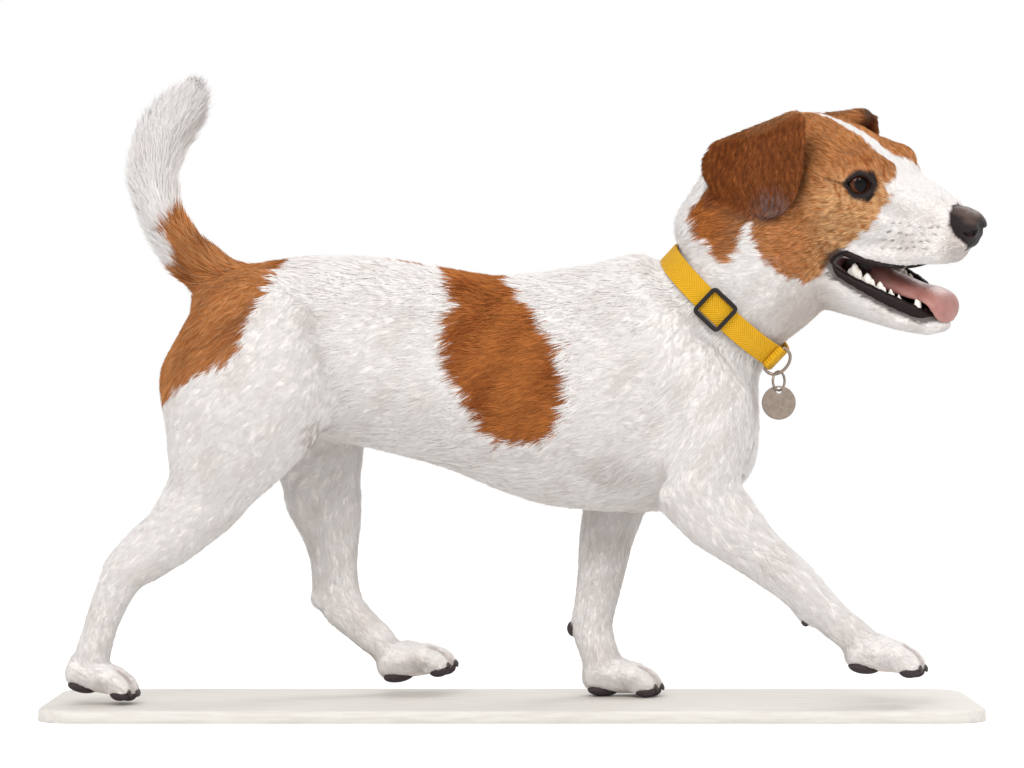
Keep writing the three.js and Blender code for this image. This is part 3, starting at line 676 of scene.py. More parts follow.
MASK = [(23, 40), (23, 8), (18, 1), (24, -4), (20, -14), (16, -22), (10, -30), (1, -39), (-8, -47),
        (-13, -54), (-17, -64), (-23, -69), (-33, -68), (-44, -67), (-52, -64), (-60, -53), (-67, -36),
        (-71, -15), (-86, 4), (-92, 24), (-80, 60)]
BLAZE = [(-50, 0), (-47, 1.5), (-24, 3.5), (1, 5.5), (12, 7.5), (24, 14)] # forward, half width


def outline(points, across, up):
    """Distances to a closed outline in a flat view, negative inside; all in millimetres."""
    points = np.array(points, float)
    nearest_edge = np.full(np.shape(across), 1e9)
    inside = np.zeros(np.shape(across), bool)
    for (x0, z0), (x1, z1) in zip(points, np.roll(points, -1, 0)):
        dx, dz = x1 - x0, z1 - z0
        t = np.clip(((across - x0) * dx + (up - z0) * dz) / (dx * dx + dz * dz), 0, 1)
        nearest_edge = np.minimum(nearest_edge, np.hypot(across - x0 - t * dx, up - z0 - t * dz))
        level = dx * (up - z0) / np.where(dz == 0, 1e-9, dz) + x0
        inside ^= ((z0 > up) != (z1 > up)) & (across < level)
    return np.where(inside, -nearest_edge, nearest_edge)


class Wander:
    """Smooth noise in space: a few plane waves with random headings."""

    def __init__(self, size, seed, waves=7):
        chance = np.random.default_rng(seed)
        self.headings = unit(chance.normal(size=(waves, 3))) * chance.uniform(4.5, 8, (waves, 1)) / size
        self.starts = chance.uniform(0, 2 * math.pi, waves)

    def __call__(self, points):
        return np.sin(points @ self.headings.T + self.starts).sum(1) / math.sqrt(len(self.starts) / 2)


ragged, tone, streak = Wander(0.009, 1), Wander(0.030, 2), Wander(0.004, 3)
print("corners of flank, rump, nape and mask:", [len(p) for p in (FLANK, RUMP, NAPE, MASK)])

# %% Colours and places
WHITE, SHADE = lift("f5f0ed"), lift("d2c5bd")
TAN, TAN_DARK, TAN_PALE = lift("b16a33"), lift("844318"), lift("dcaa78")
EAR_BROWN, EAR_BLUE, DARK = lift("723914"), lift("75625f"), lift("2a2120")
# the mouth's red lining, darkened as painted shade inside it
MOUTH_IN_SHADE = lift("4a2a2a")
# the second colour is pinkish skin in painted shade, for the fold of the groin and between the toes
GREY, SKIN_IN_SHADE = lift("b3a6a0"), lift("9a8078")


def mix(a, b, share):
    """Colours a turned towards b by a share for each point."""
    return a + (b - a) * np.asarray(share)[:, None]


def near_spot(points, centre, low, high):
    """1 within low millimetres of a point and 0 beyond high."""
    return 1 - smooth(low, high, np.linalg.norm(points - np.array(centre, float), axis=1))


def seen(points):
    """Points in mm: on the dog, on the head, and on the head with left and right folded."""
    h = head_place.inside(points) / MM
    return points / MM, h, np.stack([h[:, 0], np.abs(h[:, 1]), h[:, 2]], 1)


def is_on_head(points):
    """Whether points lie in front of the collar."""
    return (above_collar(points) > 8 * MM) & (points[:, 0] > 60 * MM)


print("dark colour:", DARK.round(3))

# %% Lips and mouth as distances
LIP = [(-4, 28.5, -45.5), (-10, 28.3, -49.5), (-11.5, 28, -54.5), (-6, 27.6, -59.5), (4, 25.9, -63.2),
       (16, 23.4, -67), (27, 20.6, -70.6), (40, 16.0, -74.6), (50, 9.6, -78.2), (56.5, 0, -80)]
LIP_SIZE = (1.8, 2.2, 2.5, 2.8, 3.2, 3.6, 3.9, 4.0, 3.6, 2.8) # half its height


def lip_edge(both):
    """Millimetres from the black band of the lower lip, for places with left and right folded."""
    return rod_shape(both.T * MM, np.array(LIP) * MM, np.array(LIP_SIZE) * MM) / MM


def mouth_edge(places):
    """Millimetres from the hollow of the mouth, negative inside it."""
    roof, trough = (rod_shape(places.T * MM, np.array(points) * MM, np.array(radii) * MM)
                    for points, radii in MOUTH_HOLLOWS)
    return np.minimum(roof, trough) / MM


print("lip of", len(LIP), "points")


# %% How tan the coat is
def tan_share(points):
    """How tan each point of the coat is, from 0 to 1."""
    (x, y, z), h, (f, side, u) = (part.T for part in seen(points))
    on_head = is_on_head(points)
    jag = (1.3 * ragged(points) + 0.7 * streak(points)) * np.where(on_head, 0.5, 1)
    flank = np.where(y < 0, outline(FLANK, x, z), outline(FLANK_FAR, x, z))
    spot = np.maximum(np.hypot((x + 62) / 1.3, y - 1) - 8.5, 280 - z)
    bare = np.interp(f, *np.array(BLAZE).T, left=-9)
    mask = np.maximum(outline(MASK, f, u), bare - side)
    mask = np.where(y < 0, np.maximum(mask, -outline(BEHIND, x, z)), mask)
    ears = np.minimum(sample(head, flaps, points) / MM - 3.5,
                      np.maximum(np.maximum(34 - side, 4 - u), np.abs(f + 62) - 34))
    ears = np.minimum(ears, 42 - h[1]) # only the left ear reaches so far out on its side
    nearest_patch = np.where(on_head, np.minimum(np.minimum(mask, outline(NAPE, x, z)), ears),
                             np.minimum(np.minimum(flank, outline(RUMP, x, z)), spot))
    return smooth(0.8, -0.8, nearest_patch + jag)


print("tan in the flank's middle:", tan_share(np.array([(0, -60, 225)]) * MM).round(2))


# %% Tan hair
def layered(colour, *layers):
    """A colour with others laid over it in turn, each by its share."""
    for over, share in layers:
        colour = mix(colour, over, share)
    return colour


def tan_hair(points, hair):
    """The colour of tan hair at each point: paler on the face, darker on the ears, with painted shadow
    under the ear flaps and painted shade at the ends of their folds.
    """
    p, _, both = seen(points)
    f, _, u = both.T
    on_head = is_on_head(points)
    flap = sample(head, flaps, points) / MM
    ear = on_head * smooth(2.6, 1.2, flap)
    pale = (0.32 + 0.85 * smooth(-34, 0, f) * smooth(16, -10, u)).clip(0, 1)
    pale = pale * on_head * smooth(-76, -60, f)
    ear_tip = near_spot(both, (-42, 55, -22), 5, 21)
    # where the ear flap's shadow is painted on the neck
    shadow_under_ear = smooth(9, 3, flap) * smooth(-20, -40, f)
    return layered(
        TAN,
        (TAN_DARK, smooth(-0.4, 1.4, 0.7 * tone(points) + 0.5 * hair)),
        (TAN_PALE, pale * smooth(-1.6, 0.3, hair)),
        (TAN_PALE, 0.35 * (p[:, 0] < -150) * smooth(-1, 0.6, hair)), # rump and tail
        (EAR_BROWN, 0.9 * ear),
        (TAN, 0.3 * ear * smooth(0.2, 1.6, hair)),
        (EAR_BLUE, 0.8 * ear * ear_tip * smooth(-1.2, 0.3, hair)),
        # painted shade in the openings at both ends of the ear's fold
        (DARK, 0.75 * on_head * near_spot(both, (-38, 42, 29), 2, 7)), # the ends of the ear's fold
        (DARK, 0.75 * on_head * near_spot(both, (-95, 50, -7), 2, 7)),
        # painted shadow of the ear flap on the neck below it
        (DARK, 0.45 * on_head * (1 - ear) * shadow_under_ear),
        (TAN_DARK, 0.7 * on_head * near_spot(both, (6, 25, 15), 2, 6))) # brow


print("tan colours:", TAN.round(3), TAN_DARK.round(3), TAN_PALE.round(3))


# %% White hair
def whisker_dots(f, side, u):
    """The dots that whiskers grow from, as layers of colour."""
    for row in range(4):
        for k in range(6):
            ahead = 27 + 6 * k - 2 * row + 1.4 * math.sin(5 * k + 3 * row)
            level = -22 - 5.2 * row + 0.8 * k + 0.9 * math.cos(7 * k + row)
            yield DARK, 0.65 * (smooth(1.2, 0.5, np.hypot(f - ahead, u - level)) * (side > 8))


def white_hair(points, hair):
    """The colour of white hair: greyer at the nose, with painted shade on the throat under the jaw and in
    the hollow behind the elbow.
    """
    p, _, both = seen(points)
    on_head = is_on_head(points)
    return layered(
        WHITE,
        (SHADE, 0.25 * smooth(0.6, 1.9, np.abs(tone(points)))),
        (GREY, 0.6 * on_head * smooth(56, 66, both[:, 0])),
        # painted shade on the throat, under the jaw
        (SHADE, 0.9 * near_spot(p, (187, -20, 262), 12, 40)),
        # painted shade in the hollow behind the elbow
        (GREY, 0.5 * near_spot(p, (66, -45, 156), 4, 20) * smooth(-1, 0.5, hair)),
        *((dark, share * on_head) for dark, share in whisker_dots(*both.T)))


print("white colours:", WHITE.round(3), SHADE.round(3), GREY.round(3))


# %% Eyes, mouth and toes
def eye_marks(both, on_head):
    """The dark skin round an eye, and painted shade in the crease behind it, as layers of colour."""
    eye = np.stack([sum(a * b for a, b in zip((both - EYE["at"]).T, way)) for way in EYE_WAYS], 1)
    along_slit, high, out = eye.T
    past = past_lids(high, np.clip(lid_bow(along_slit), -1.5, 1))
    near_eye = on_head * (out > 0) * smooth(18, 15, np.linalg.norm(eye, axis=1))
    yield DARK, near_eye * smooth(4.4, 2.4, past - 5.2 * smooth(2, 9, along_slit))
    crease = np.hypot(high + 0.9 + 0.10 * (along_slit + 9), 1.6 * (along_slit > -8))
    crease = smooth(1.5, 0.6, crease)
    # painted shade along the crease behind the eye
    yield DARK, 0.55 * on_head * crease * smooth(-25, -15, along_slit) * (out > -14)


def mouth_marks(points, h, both, on_head):
    """Black lips and nose, and a dark red inside the mouth and between lip and cheek, partly the lining's
    own colour and partly painted shade, as layers of colour.
    """
    f, side, u = both.T
    low, out = (np.interp(f, *np.array(LIP)[4:, [0, k]].T) for k in (2, 1))
    between = smooth(-2, 0, u - low) * smooth(-46, -48.5, u + 0.02 * f) * smooth(1, -1, side - out)
    yield DARK, 0.6 * (on_head * near_spot(both, (-7, 29, -50), 4, 10)) # corner of the mouth
    yield DARK, 0.85 * on_head * smooth(3.2, 1.4, lip_edge(both))
    # the mouth's hollow: its lining's red, darkened as painted shade
    yield MOUTH_IN_SHADE, on_head * smooth(2.0, 0.8, mouth_edge(h)) * smooth(-26, -20, f)
    # the gap between the lips, dark red as painted shade inside the mouth
    yield MOUTH_IN_SHADE, on_head * (between * smooth(-13, -11, f)) * (f < 58)
    yield DARK, on_head * smooth(1.2, 0.2, sample(head, nose, points) / MM)


def toe_marks(points):
    """The soft shade between the toes, as layers of colour."""
    for name, block in feet.items():
        size, q = FEET[name][2], block.place.inside(points).T
        for k in (-1, 0, 1):
            line = np.array([(30, k * 9, 20), (42, k * 9.5, 14), (47, k * 9.6, 4)]) * size * MM
            yield SKIN_IN_SHADE, 0.5 * smooth(3.2, 1.0, rod_shape(q, line, np.full(3, 0.3 * MM)) / MM)


print("marks on eyes, mouth and", len(feet), "feet")


# %% The colour of any point
def paint(points):
    """The coat's colour at each point, in linear light."""
    p, h, both = seen(points)
    on_head, hair = is_on_head(points), streak(points)
    # the groin: darker skin in its fold, and painted shade
    groin_shade = smooth(16, 4, np.hypot(p[:, 0] + 121, (p[:, 2] - 181) * 1.2)) * smooth(-20, -34, p[:, 1])
    return layered(
        white_hair(points, hair),
        (tan_hair(points, hair), tan_share(points)),
        *mouth_marks(points, h, both, on_head),
        *toe_marks(points),
        (SKIN_IN_SHADE, 0.85 * groin_shade * smooth(-1, 0.5, hair)),
        *eye_marks(both, on_head))


def corners(mesh):
    """The points of a mesh, as an array."""
    return read(mesh.vertices, "co", 3).astype(float)


def tint(piece, colours):
    """Writes a colour for each point of a mesh."""
    layer = piece.data.color_attributes.new("tint", "FLOAT_COLOR", "POINT")
    rgba = np.concatenate([colours, np.ones((len(colours), 1))], 1).astype(np.float32)
    layer.data.foreach_set("color", rgba.ravel())


# the skin is pinker, as bare skin is, and darker as painted shade in the gaps of the coat
tint(skin, paint(corners(skin.data)) * (0.88, 0.85, 0.84)) # darker, as gaps in a coat are
print("skin painted")

# %% [markdown]
# ## The lie of the coat
# Fur grows away from the nose: back over the skull, along the trunk and down the legs, and it
# parts around the eyes. Each region says which way its hair runs; those directions are laid on
# the skin, pressed flat to it and smoothed from corner to corner, so that they turn gently from
# one region into the next, as they do on a dog.

# %% Regions of the coat
REGIONS = { # the way the hair runs, its length and width in mm, its lift in degrees, tufts per mm2
    "trunk": ((-1, 0, -0.32), 9.5, 0.58, 12, 0.95),
    "neck": ((-0.70, 0.1, -0.70), 10, 0.55, 15, 1.1),
    "thigh": ((-0.72, 0, -0.70), 8.5, 0.52, 11, 1.1),
    "shoulder": ((-0.55, 0, -0.84), 8, 0.52, 11, 1.1),
    "tail_base": ((-0.70, 0, 0.70), 12, 0.60, 20, 1.3),
    "tail_middle": ((-0.15, 0, 1), 17, 0.60, 24, 1.7),
    "tail_tip": ((0.35, 0, 0.94), 16, 0.60, 26, 2.0),
    "hind_right_shank": ((-0.70, 0, -0.71), 7, 0.42, 10, 1.4),
    "hind_left_shank": ((0.05, 0, -1), 7, 0.42, 10, 1.4),
    "hind_right_hock": ((-0.25, 0, -0.97), 5.5, 0.38, 10, 1.6),
    "hind_left_hock": ((0.60, 0, -0.80), 5.5, 0.38, 10, 1.6),
    "fore_right_forearm": ((0.72, 0, -0.70), 7, 0.42, 10, 1.4),
    "fore_left_forearm": ((-0.22, -0.2, -0.95), 7, 0.42, 10, 1.4),
    "fore_right_pastern": ((0.68, 0, -0.73), 5.5, 0.38, 10, 1.6),
    "fore_left_pastern": ((-0.1, -0.1, -1), 5.5, 0.38, 10, 1.6),
    "paw": ((0.93, 0, -0.37), 3.8, 0.34, 10, 2.3),
}
PIECES = ["face", "cheeks", "ears", "neck", "trunk_chest", "trunk_loin", "trunk_rump", "tail",
          "hind_right", "hind_left", "fore_right", "fore_left"]
print(len(REGIONS), "regions of hair in", len(PIECES), "pieces of coat")


# %% What each corner of the skin wears
spots = corners(skin.data)
ups = read(skin.data.vertex_normals, "vector", 3).astype(float) # which way the skin faces
names = np.array(body.names)[at_cell(body, body.label, spots)]
lie, size = np.zeros((len(spots), 3)), np.zeros((len(spots), 4)) # length, width, lift, tufts
for part, (way, *numbers) in REGIONS.items():
    mine = np.char.find(names, part) >= 0
    lie[mine], size[mine] = way, numbers
piece_of = np.select([np.char.startswith(names, p) for p in PIECES], range(len(PIECES)), 3)

_, h, both = seen(spots)
f, l, u = h.T
height = above_collar(spots) / MM
ear = sample(head, flaps, spots) < 1.5 * MM
on_head = (height > 4) & (f > -75 + 0.5 * (u + 20)) | ear
on_jaw = on_head & (at_cell(head, jaw, spots) < at_cell(head, skull, spots))
low_face = smooth(5, -20, u)
back = np.stack([-1 + 0 * f, 0.15 * np.sign(l) * smooth(30, -10, f), 0.42 - 0.75 * low_face], 1)
back[on_jaw] = (-0.97, 0, -0.2)
down_ear = [0.1 * smooth(-20, 10, u), 0.5 * np.sign(l) * smooth(10, 30, u), -1 + 0 * u]
back[ear] = np.stack(down_ear, 1)[ear]
from_eye = both - EYE["at"]
far = np.linalg.norm(from_eye, axis=1)
around = unit(from_eye) * np.stack([1 + 0 * l, np.sign(l), 1 + 0 * l], 1)
back += around * (1.6 * smooth(20, 11, far))[:, None]
lie[on_head] = head_place.turned(back)[on_head]
face_length = 4.6 - 1.6 * smooth(5, 30, f) - 1.1 * smooth(52, 64, f) # shortest at the nose
face_length += 3 * smooth(-30, -66, f) + 5 * smooth(-72, -88, f) # longest on the neck
face_length = np.where(ear, 4.2, face_length) * (1 - 0.6 * smooth(20, 12, far)) # short by the eyes
face_size = np.stack([face_length, 0.28 + 0.03 * face_length, 14 + 12 * smooth(-72, -88, f),
                      np.maximum(3.4 - 0.28 * face_length, 1.1)], 1)
size[on_head] = face_size[on_head]
piece_of[on_head] = np.where(ear, 2, np.where(f > -12, 0, 1))[on_head]
print("tufted regions:", {p: int((piece_of == k).sum()) for k, p in enumerate(PIECES)})

# %% Bare places
def by_collar(points, reach):
    """Whether points lie within a few millimetres of the strap's middle."""
    return (np.abs(above_collar(points) / MM) < reach) & (points[:, 0] > 0.05) & (points[:, 2] > 0.19)


def within(places, low, high):
    """Whether points lie in a box."""
    return ((places > low) & (places < high)).all(1)


in_mouth = on_head & (mouth_edge(h) < 1.2) & (f > -24)
in_mouth |= on_head & (lip_edge(both) < 0.6)
slit = np.minimum(*[at_cell(head, almond(head, s), spots) for s in (-1, 1)]) / MM
in_socket = on_head & ((far < 11.6) | ((far < 15) & (slit < 1.6)))
under_nose = on_head & (at_cell(head, nose, spots) < 0.3 * MM)
sole = np.zeros(len(spots), bool)
for block in feet.values():
    sole |= within(block.place.inside(spots) / MM, (-16, -26, -9), (56, 26, 5))
sole &= ups[:, 2] < -0.35
size[in_mouth | in_socket | under_nose | sole, 3] = 0
size[by_collar(spots, 8), 3] *= 0.5
print("bare corners:", int((size[:, 3] == 0).sum()))

# %% Directions smoothed over the skin
a, b = read(skin.data.edges, "vertices", 2, np.int32).T
count = len(spots)


def spread(values, times):
    """Each corner's values, averaged with its neighbours' several times."""
    degree = np.bincount(a, minlength=count) + np.bincount(b, minlength=count)
    for k in range(times):
        total = np.stack([np.bincount(a, column[b], count) + np.bincount(b, column[a], count)
                          for column in values.T], 1)
        values = 0.4 * values + 0.6 * total / np.maximum(degree, 1)[:, None]
    return values


def flat_to(vectors, ups):
    """Directions pressed flat to a surface."""
    return unit(vectors - (vectors * ups).sum(1)[:, None] * ups)


for k in range(3):
    lie = flat_to(spread(lie, 12), ups)
tufts_here = size[:, 3].copy()
size = spread(size, 8)
size[:, 3] = np.where(tufts_here > 0, size[:, 3], 0)
print("lie smoothed over", count, "corners")

# %% [markdown]
# ## Tufts
# A tuft is a thin closed spike of four faces: a ridge along its back, so that it catches light as
# a lock of hair does, and a buried root. Its point is set by measuring how high it floats over
# the skin's field, so it hugs round legs as closely as a flat flank. Neighbours bend together,
# which gathers the coat into locks, and each one is a little darker at the root, as painted
# shade deep in the coat.

# %% Sow the roots
rng = np.random.default_rng(7)
TUFTS, MOST = 345000, 49500 # in all, and in one piece
faces = read(skin.data.polygons, "vertices", 3, np.int32)
p0, p1, p2 = (spots[faces[:, k]] for k in range(3))
area = np.linalg.norm(np.cross(p1 - p0, p2 - p0), axis=1) / 2 / MM ** 2
wanted = area * size[faces, 3].min(1)
print("wanted", int(wanted.sum()), "tufts on", round(area.sum() / 1e6, 3), "m2")
chosen = rng.choice(len(faces), min(TUFTS, int(wanted.sum())), p=wanted / wanted.sum())
shares = rng.dirichlet((1, 1, 1), len(chosen))


def spread_in(values):
    """Values of the skin's corners at the roots of the tufts."""
    return (values[faces[chosen]] * shares[:, :, None]).sum(1)


root, up = spread_in(spots), unit(spread_in(ups))
length, width, lifted = spread_in(size).T[:3]
piece = piece_of[faces[chosen, shares.argmax(1)]]
bend = np.stack([Wander(0.007, 20 + k)(root) for k in range(3)], 1) * 0.16
bend += np.stack([Wander(0.028, 30 + k)(root) for k in range(3)], 1) * 0.10
bend += rng.normal(size=root.shape) * 0.09
way = flat_to(unit(spread_in(lie)) + bend, up)
length *= rng.uniform(0.7, 1.15, len(root)) * MM
width *= rng.uniform(0.75, 1.2, len(root)) * MM
length *= 1 - 0.6 * near_spot(root / MM, (-201, 0, 411), 4, 15) # short at the very tip of the tail
vary = np.where(lifted < 11.5, 0.12, 0.35) # the shortest coat lies most even
rise = length * np.sin(np.radians(lifted * (1 + vary * rng.uniform(-1, 1, len(root)))))

# %% Shape the spikes
tip = root + way * length[:, None]
float_up = sample(body, body_skin, tip)
is_head = (above_collar(tip) > 3 * MM) & (tip[:, 0] > 0.08)
float_up[is_head] = sample(head, face, tip[is_head])
for name, block in feet.items():
    mine = within(block.place.inside(tip) / MM, (-26, -26, -8), (56, 26, 34))
    float_up[mine] = sample(block, foot_skins[name], tip[mine])
rise = np.where(by_collar(tip, 9.5), np.minimum(rise, 0.8 * MM), rise) # flat under the strap
tip += up * np.clip(rise - float_up, -0.75 * length, 0.5 * length)[:, None]
across = unit(np.cross(tip - root, up)) * width[:, None] / 2
SUNK, RIDGE, LEAN = 0.35, 0.45, 0.3 # root's depth in mm, ridge by width, and how the sides face out
foot = root - up * SUNK * MM
spikes = np.stack([foot - across, foot + across, root + up * RIDGE * width[:, None], tip], 1)
lean = LEAN * unit(across)
turns = np.stack([up - lean, up + lean, up, up + 0.25 * unit(tip - root)], 1)
SIDES = np.array([(0, 3, 1), (0, 2, 3), (2, 1, 3), (0, 1, 2)])
print(len(root), "spikes, mean length", round(float(length.mean()) / MM, 1), "mm")

# %% Their colours
colour = paint(root)
tan = tan_share(root)[:, None]
head_root = is_on_head(root)[:, None]
varied = 0.11 + 0.08 * head_root + (0.64 + 0.3 * head_root) * tan
luck = 1 + rng.uniform(-0.5, 0.5, (len(root), 1)) * varied + 0.05 * streak(root)[:, None] * tan
# painted shade: each tuft is darker at its root, deep in the coat; tan ones are also paler at the tip, as
# tan hair is
CORNER_TONES = ((0.92, -0.10), (0.92, -0.10), (0.98, -0.03), (1.0, 0.05)) # plain, and more where tan
shades = np.stack([(plain + more * tan) * colour * luck for plain, more in CORNER_TONES], 1)
shades = np.clip(shades, 0, 0.93)
print("mean colour of the coat:", colour.mean(0).round(3))


# %% Unroll the pieces
AXES = { # a line through each piece that its skin is unrolled around
    "face": (HEAD_AT, (0.79, -0.57, -0.22)), "cheeks": (HEAD_AT, (0.79, -0.57, -0.22)),
    "ears": ((0.19, -0.02, 0.35), (0.2, 0, -1)), "neck": (COLLAR_AT, COLLAR_AXIS),
    "trunk_chest": ((0, 0, 0.23), (1, 0, 0)), "trunk_loin": ((0, 0, 0.23), (1, 0, 0)),
    "trunk_rump": ((0, 0, 0.24), (1, 0, 0)), "tail": ((-0.225, 0, 0.35), (0, 0, 1)),
    "hind_right": ((-0.20, -0.043, 0.15), (0.5, 0, 1)), "hind_left": ((-0.12, 0.046, 0.15), (0, 0, 1)),
    "fore_right": ((0.14, -0.047, 0.13), (-0.6, 0, 1)), "fore_left": ((0.07, 0.04, 0.13), (0.2, 0, 1)),
}
PATCH, EDGE = 0.003, 0.004 # a tuft's share of the flat map, and the map's empty edge


def unrolled(name, points):
    """Where points fall on the skin of a piece, unrolled flat to a square."""
    at, axis = AXES[name]
    axis = unit(axis)
    first = unit(np.cross(axis, (0, 1, 0) if abs(axis[1]) < 0.9 else (1, 0, 0)))
    second = np.cross(axis, first)
    away = points - at
    turn = np.arctan2(away @ second, away @ first) / (2 * math.pi) + 0.5
    high = away @ axis
    flat = np.stack([turn, (high - high.min()) / np.ptp(high)], 1)
    if name == "ears":
        flat[:, 0] = flat[:, 0] / 2 + 0.5 * (head_place.inside(points)[:, 1] > 0)
    return EDGE + (1 - 2 * EDGE) * flat


print("unrolled round", len(AXES), "lines")


# %% Build the pieces
def build(name, points, sides, normals, colours, flat):
    """A mesh of many small closed shapes, with its own normals, colours and flat map."""
    mesh = bpy.data.meshes.new(name)
    mesh.vertices.add(len(points))
    mesh.vertices.foreach_set("co", points.ravel().astype(np.float32))
    mesh.loops.add(sides.size)
    mesh.loops.foreach_set("vertex_index", sides.ravel().astype(np.int32))
    mesh.polygons.add(len(sides))
    mesh.polygons.foreach_set("loop_start", np.arange(0, sides.size, 3, dtype=np.int32))
    mesh.update(calc_edges=True)
    piece = placed(name, mesh)
    tint(piece, colours)
    layer = mesh.uv_layers.new(name="OFBake")
    layer.data.foreach_set("uv", flat[sides.ravel()].ravel().astype(np.float32))
    mesh.normals_split_custom_set_from_vertices(unit(normals))
    return piece


OFFSETS = np.array([(-0.5, -0.4), (0.5, -0.4), (0, 0), (0, 0.5)]) * PATCH
coat = {}
for k, name in enumerate(PIECES):
    mine = np.flatnonzero(piece == k)[:MOST]
    flat = unrolled(name, root[mine])[:, None, :] + OFFSETS
    sides = (SIDES[None] + 4 * np.arange(len(mine))[:, None, None]).reshape(-1, 3)
    coat[name] = build("coat_" + name, spikes[mine].reshape(-1, 3), sides,
                       turns[mine].reshape(-1, 3), shades[mine].reshape(-1, 3), flat.reshape(-1, 2))
    print(coat[name].name, len(mine), "tufts")

# %% [markdown]
# ## Swept and wrapped shapes
# Lips, lids, teeth, claws, the strap and its rings are all rows of points wrapped into a closed
# surface. One function turns rows into triangles and closes the ends; a second one carries a
# section along a line. Curve objects could do the same, but plain arrays let every row have its
# own size, and the result is already a mesh.

# %% Rows of points into closed shapes
def wrapped(rows, ring=False):
    """Triangles over rows of points; a ring joins up with itself, other shapes get closed ends."""
    rows = np.asarray(rows, float)
    n, m = rows.shape[:2]
    points = rows.reshape(-1, 3)
    i, j = np.meshgrid(np.arange(n if ring else n - 1), np.arange(m), indexing="ij")
    a, b = i * m + j, i * m + (j + 1) % m
    c, d = (i + 1) % n * m + (j + 1) % m, (i + 1) % n * m + j
    sides = np.concatenate([np.stack(three, -1).reshape(-1, 3) for three in ((a, b, c), (a, c, d))])
    if not ring:
        points = np.concatenate([points, [rows[0].mean(0), rows[-1].mean(0)]])
        j = np.arange(m)
        first, last = np.full(m, n * m), np.full(m, n * m + 1)
        sides = np.concatenate([sides, np.stack([first, (j + 1) % m, j], -1),
                                np.stack([last, (n - 1) * m + j, (n - 1) * m + (j + 1) % m], -1)])
    return points, sides


print("a wrapped box has", len(wrapped(np.zeros((2, 4, 3)))[1]), "triangles")


# %% Curves and sections
def smooth_line(points, count):
    """A smooth curve through points, as many even spots."""
    points = np.array(points, float)
    padded = np.concatenate([[2 * points[0] - points[1]], points, [2 * points[-1] - points[-2]]])
    t = np.linspace(0, len(points) - 1, count * 4)
    k = np.clip(t.astype(int), 0, len(points) - 2)
    s = (t - k)[:, None]
    p0, p1, p2, p3 = (padded[k + j] for j in range(4))
    curve = 0.5 * (2 * p1 + (p2 - p0) * s + (2 * p0 - 5 * p1 + 4 * p2 - p3) * s ** 2
                   + (3 * p1 - p0 - 3 * p2 + p3) * s ** 3)
    return along(curve, count)


def sweep(line, section, high=None, ring=False):
    """A section of (across, up) pairs, or one section for each spot, carried along a line."""
    line = np.asarray(line, float)
    ahead = np.roll(line, -1, 0) - np.roll(line, 1, 0) if ring else np.gradient(line, axis=0)
    ahead = unit(ahead)
    if high is None:
        high = np.zeros_like(line)
        high[0] = unit(np.cross(ahead[0], (0.31, 0.83, 0.46)))
        for k in range(1, len(line)):
            high[k] = unit(high[k - 1] - ahead[k] * (high[k - 1] @ ahead[k]))
    across = unit(np.cross(ahead, high))
    high = np.cross(across, ahead)
    section = np.broadcast_to(section, (len(line),) + np.shape(section)[-2:])
    rows = line[:, None] + across[:, None] * section[:, :, :1] + high[:, None] * section[:, :, 1:]
    return wrapped(rows, ring)


def circle(sides):
    """A round section of radius one."""
    turn = np.linspace(0, 2 * math.pi, sides, endpoint=False)
    return np.stack([np.cos(turn), np.sin(turn)], 1)


def at_level(flat, z):
    """A flat section as a row of points at one level."""
    return np.column_stack([flat, np.full(len(flat), z)])


print("a square section:", circle(4).round(2).tolist())


# %% Rods and balls
def rod(points, radii, count=24, sides=10):
    """A round rod along a smooth line, with domed ends; sizes as in the points."""
    line = smooth_line(np.column_stack([points, radii]), count)
    spots = np.linspace(0, 1, count)
    near_end = np.clip(1 - np.minimum(spots, 1 - spots) * count / 3, 0, 1)
    dome = np.sqrt(np.clip(1 - near_end ** 2, 0.01, 1))
    return sweep(line[:, :3], circle(sides)[None] * (line[:, 3] * dome)[:, None, None])


def ball(centre, radii, turn=None, rows=12, sides=16):
    """An ellipsoid whose rows run round its last axis; turn's rows are its own directions."""
    lat = np.linspace(-math.pi / 2, math.pi / 2, rows + 2)[1:-1]
    ring = circle(sides)
    points = np.concatenate([np.cos(lat)[:, None, None] * ring[None],
                             np.broadcast_to(np.sin(lat)[:, None, None], (rows, sides, 1))], -1) * radii
    turn = np.eye(3) if turn is None else np.array(turn)
    points, sides = wrapped(points @ turn + centre)
    points[-2:] = centre + np.array([(0, 0, -1), (0, 0, 1)]) * radii @ turn
    return points, sides


print("a rod has", len(rod(np.eye(3), (1, 1, 1))[1]), "triangles")


# %% One object of many shapes
def thing(name, shapes, nodes=(), slot="coat", place=None, **facts):
    """One object of several closed shapes in millimetres, with numbers for its points."""
    starts = np.cumsum([0] + [len(points) for points, _ in shapes])
    points = np.concatenate([points for points, _ in shapes]) * MM
    sides = np.concatenate([sides + start for (_, sides), start in zip(shapes, starts)])
    points = place.outside(points) if place else points
    mesh = bpy.data.meshes.new(name)
    mesh.from_pydata(points.tolist(), [], sides.tolist())
    for key, values in facts.items():
        layer = mesh.attributes.new(key, "FLOAT_VECTOR", "POINT")
        layer.data.foreach_set("vector", np.asarray(values, np.float32).ravel())
    made = bmesh.new()
    made.from_mesh(mesh)
    bmesh.ops.recalc_face_normals(made, faces=made.faces[:])
    made.to_mesh(mesh)
    mesh.shade_smooth()
    piece = placed(name, mesh)
    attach(piece, "root")
    if nodes:
        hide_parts(*nodes)
    state = "closed" if all(e.is_manifold for e in made.edges) else "OPEN"
    print(name, len(mesh.polygons), "triangles,", state)
    made.free()
    return piece


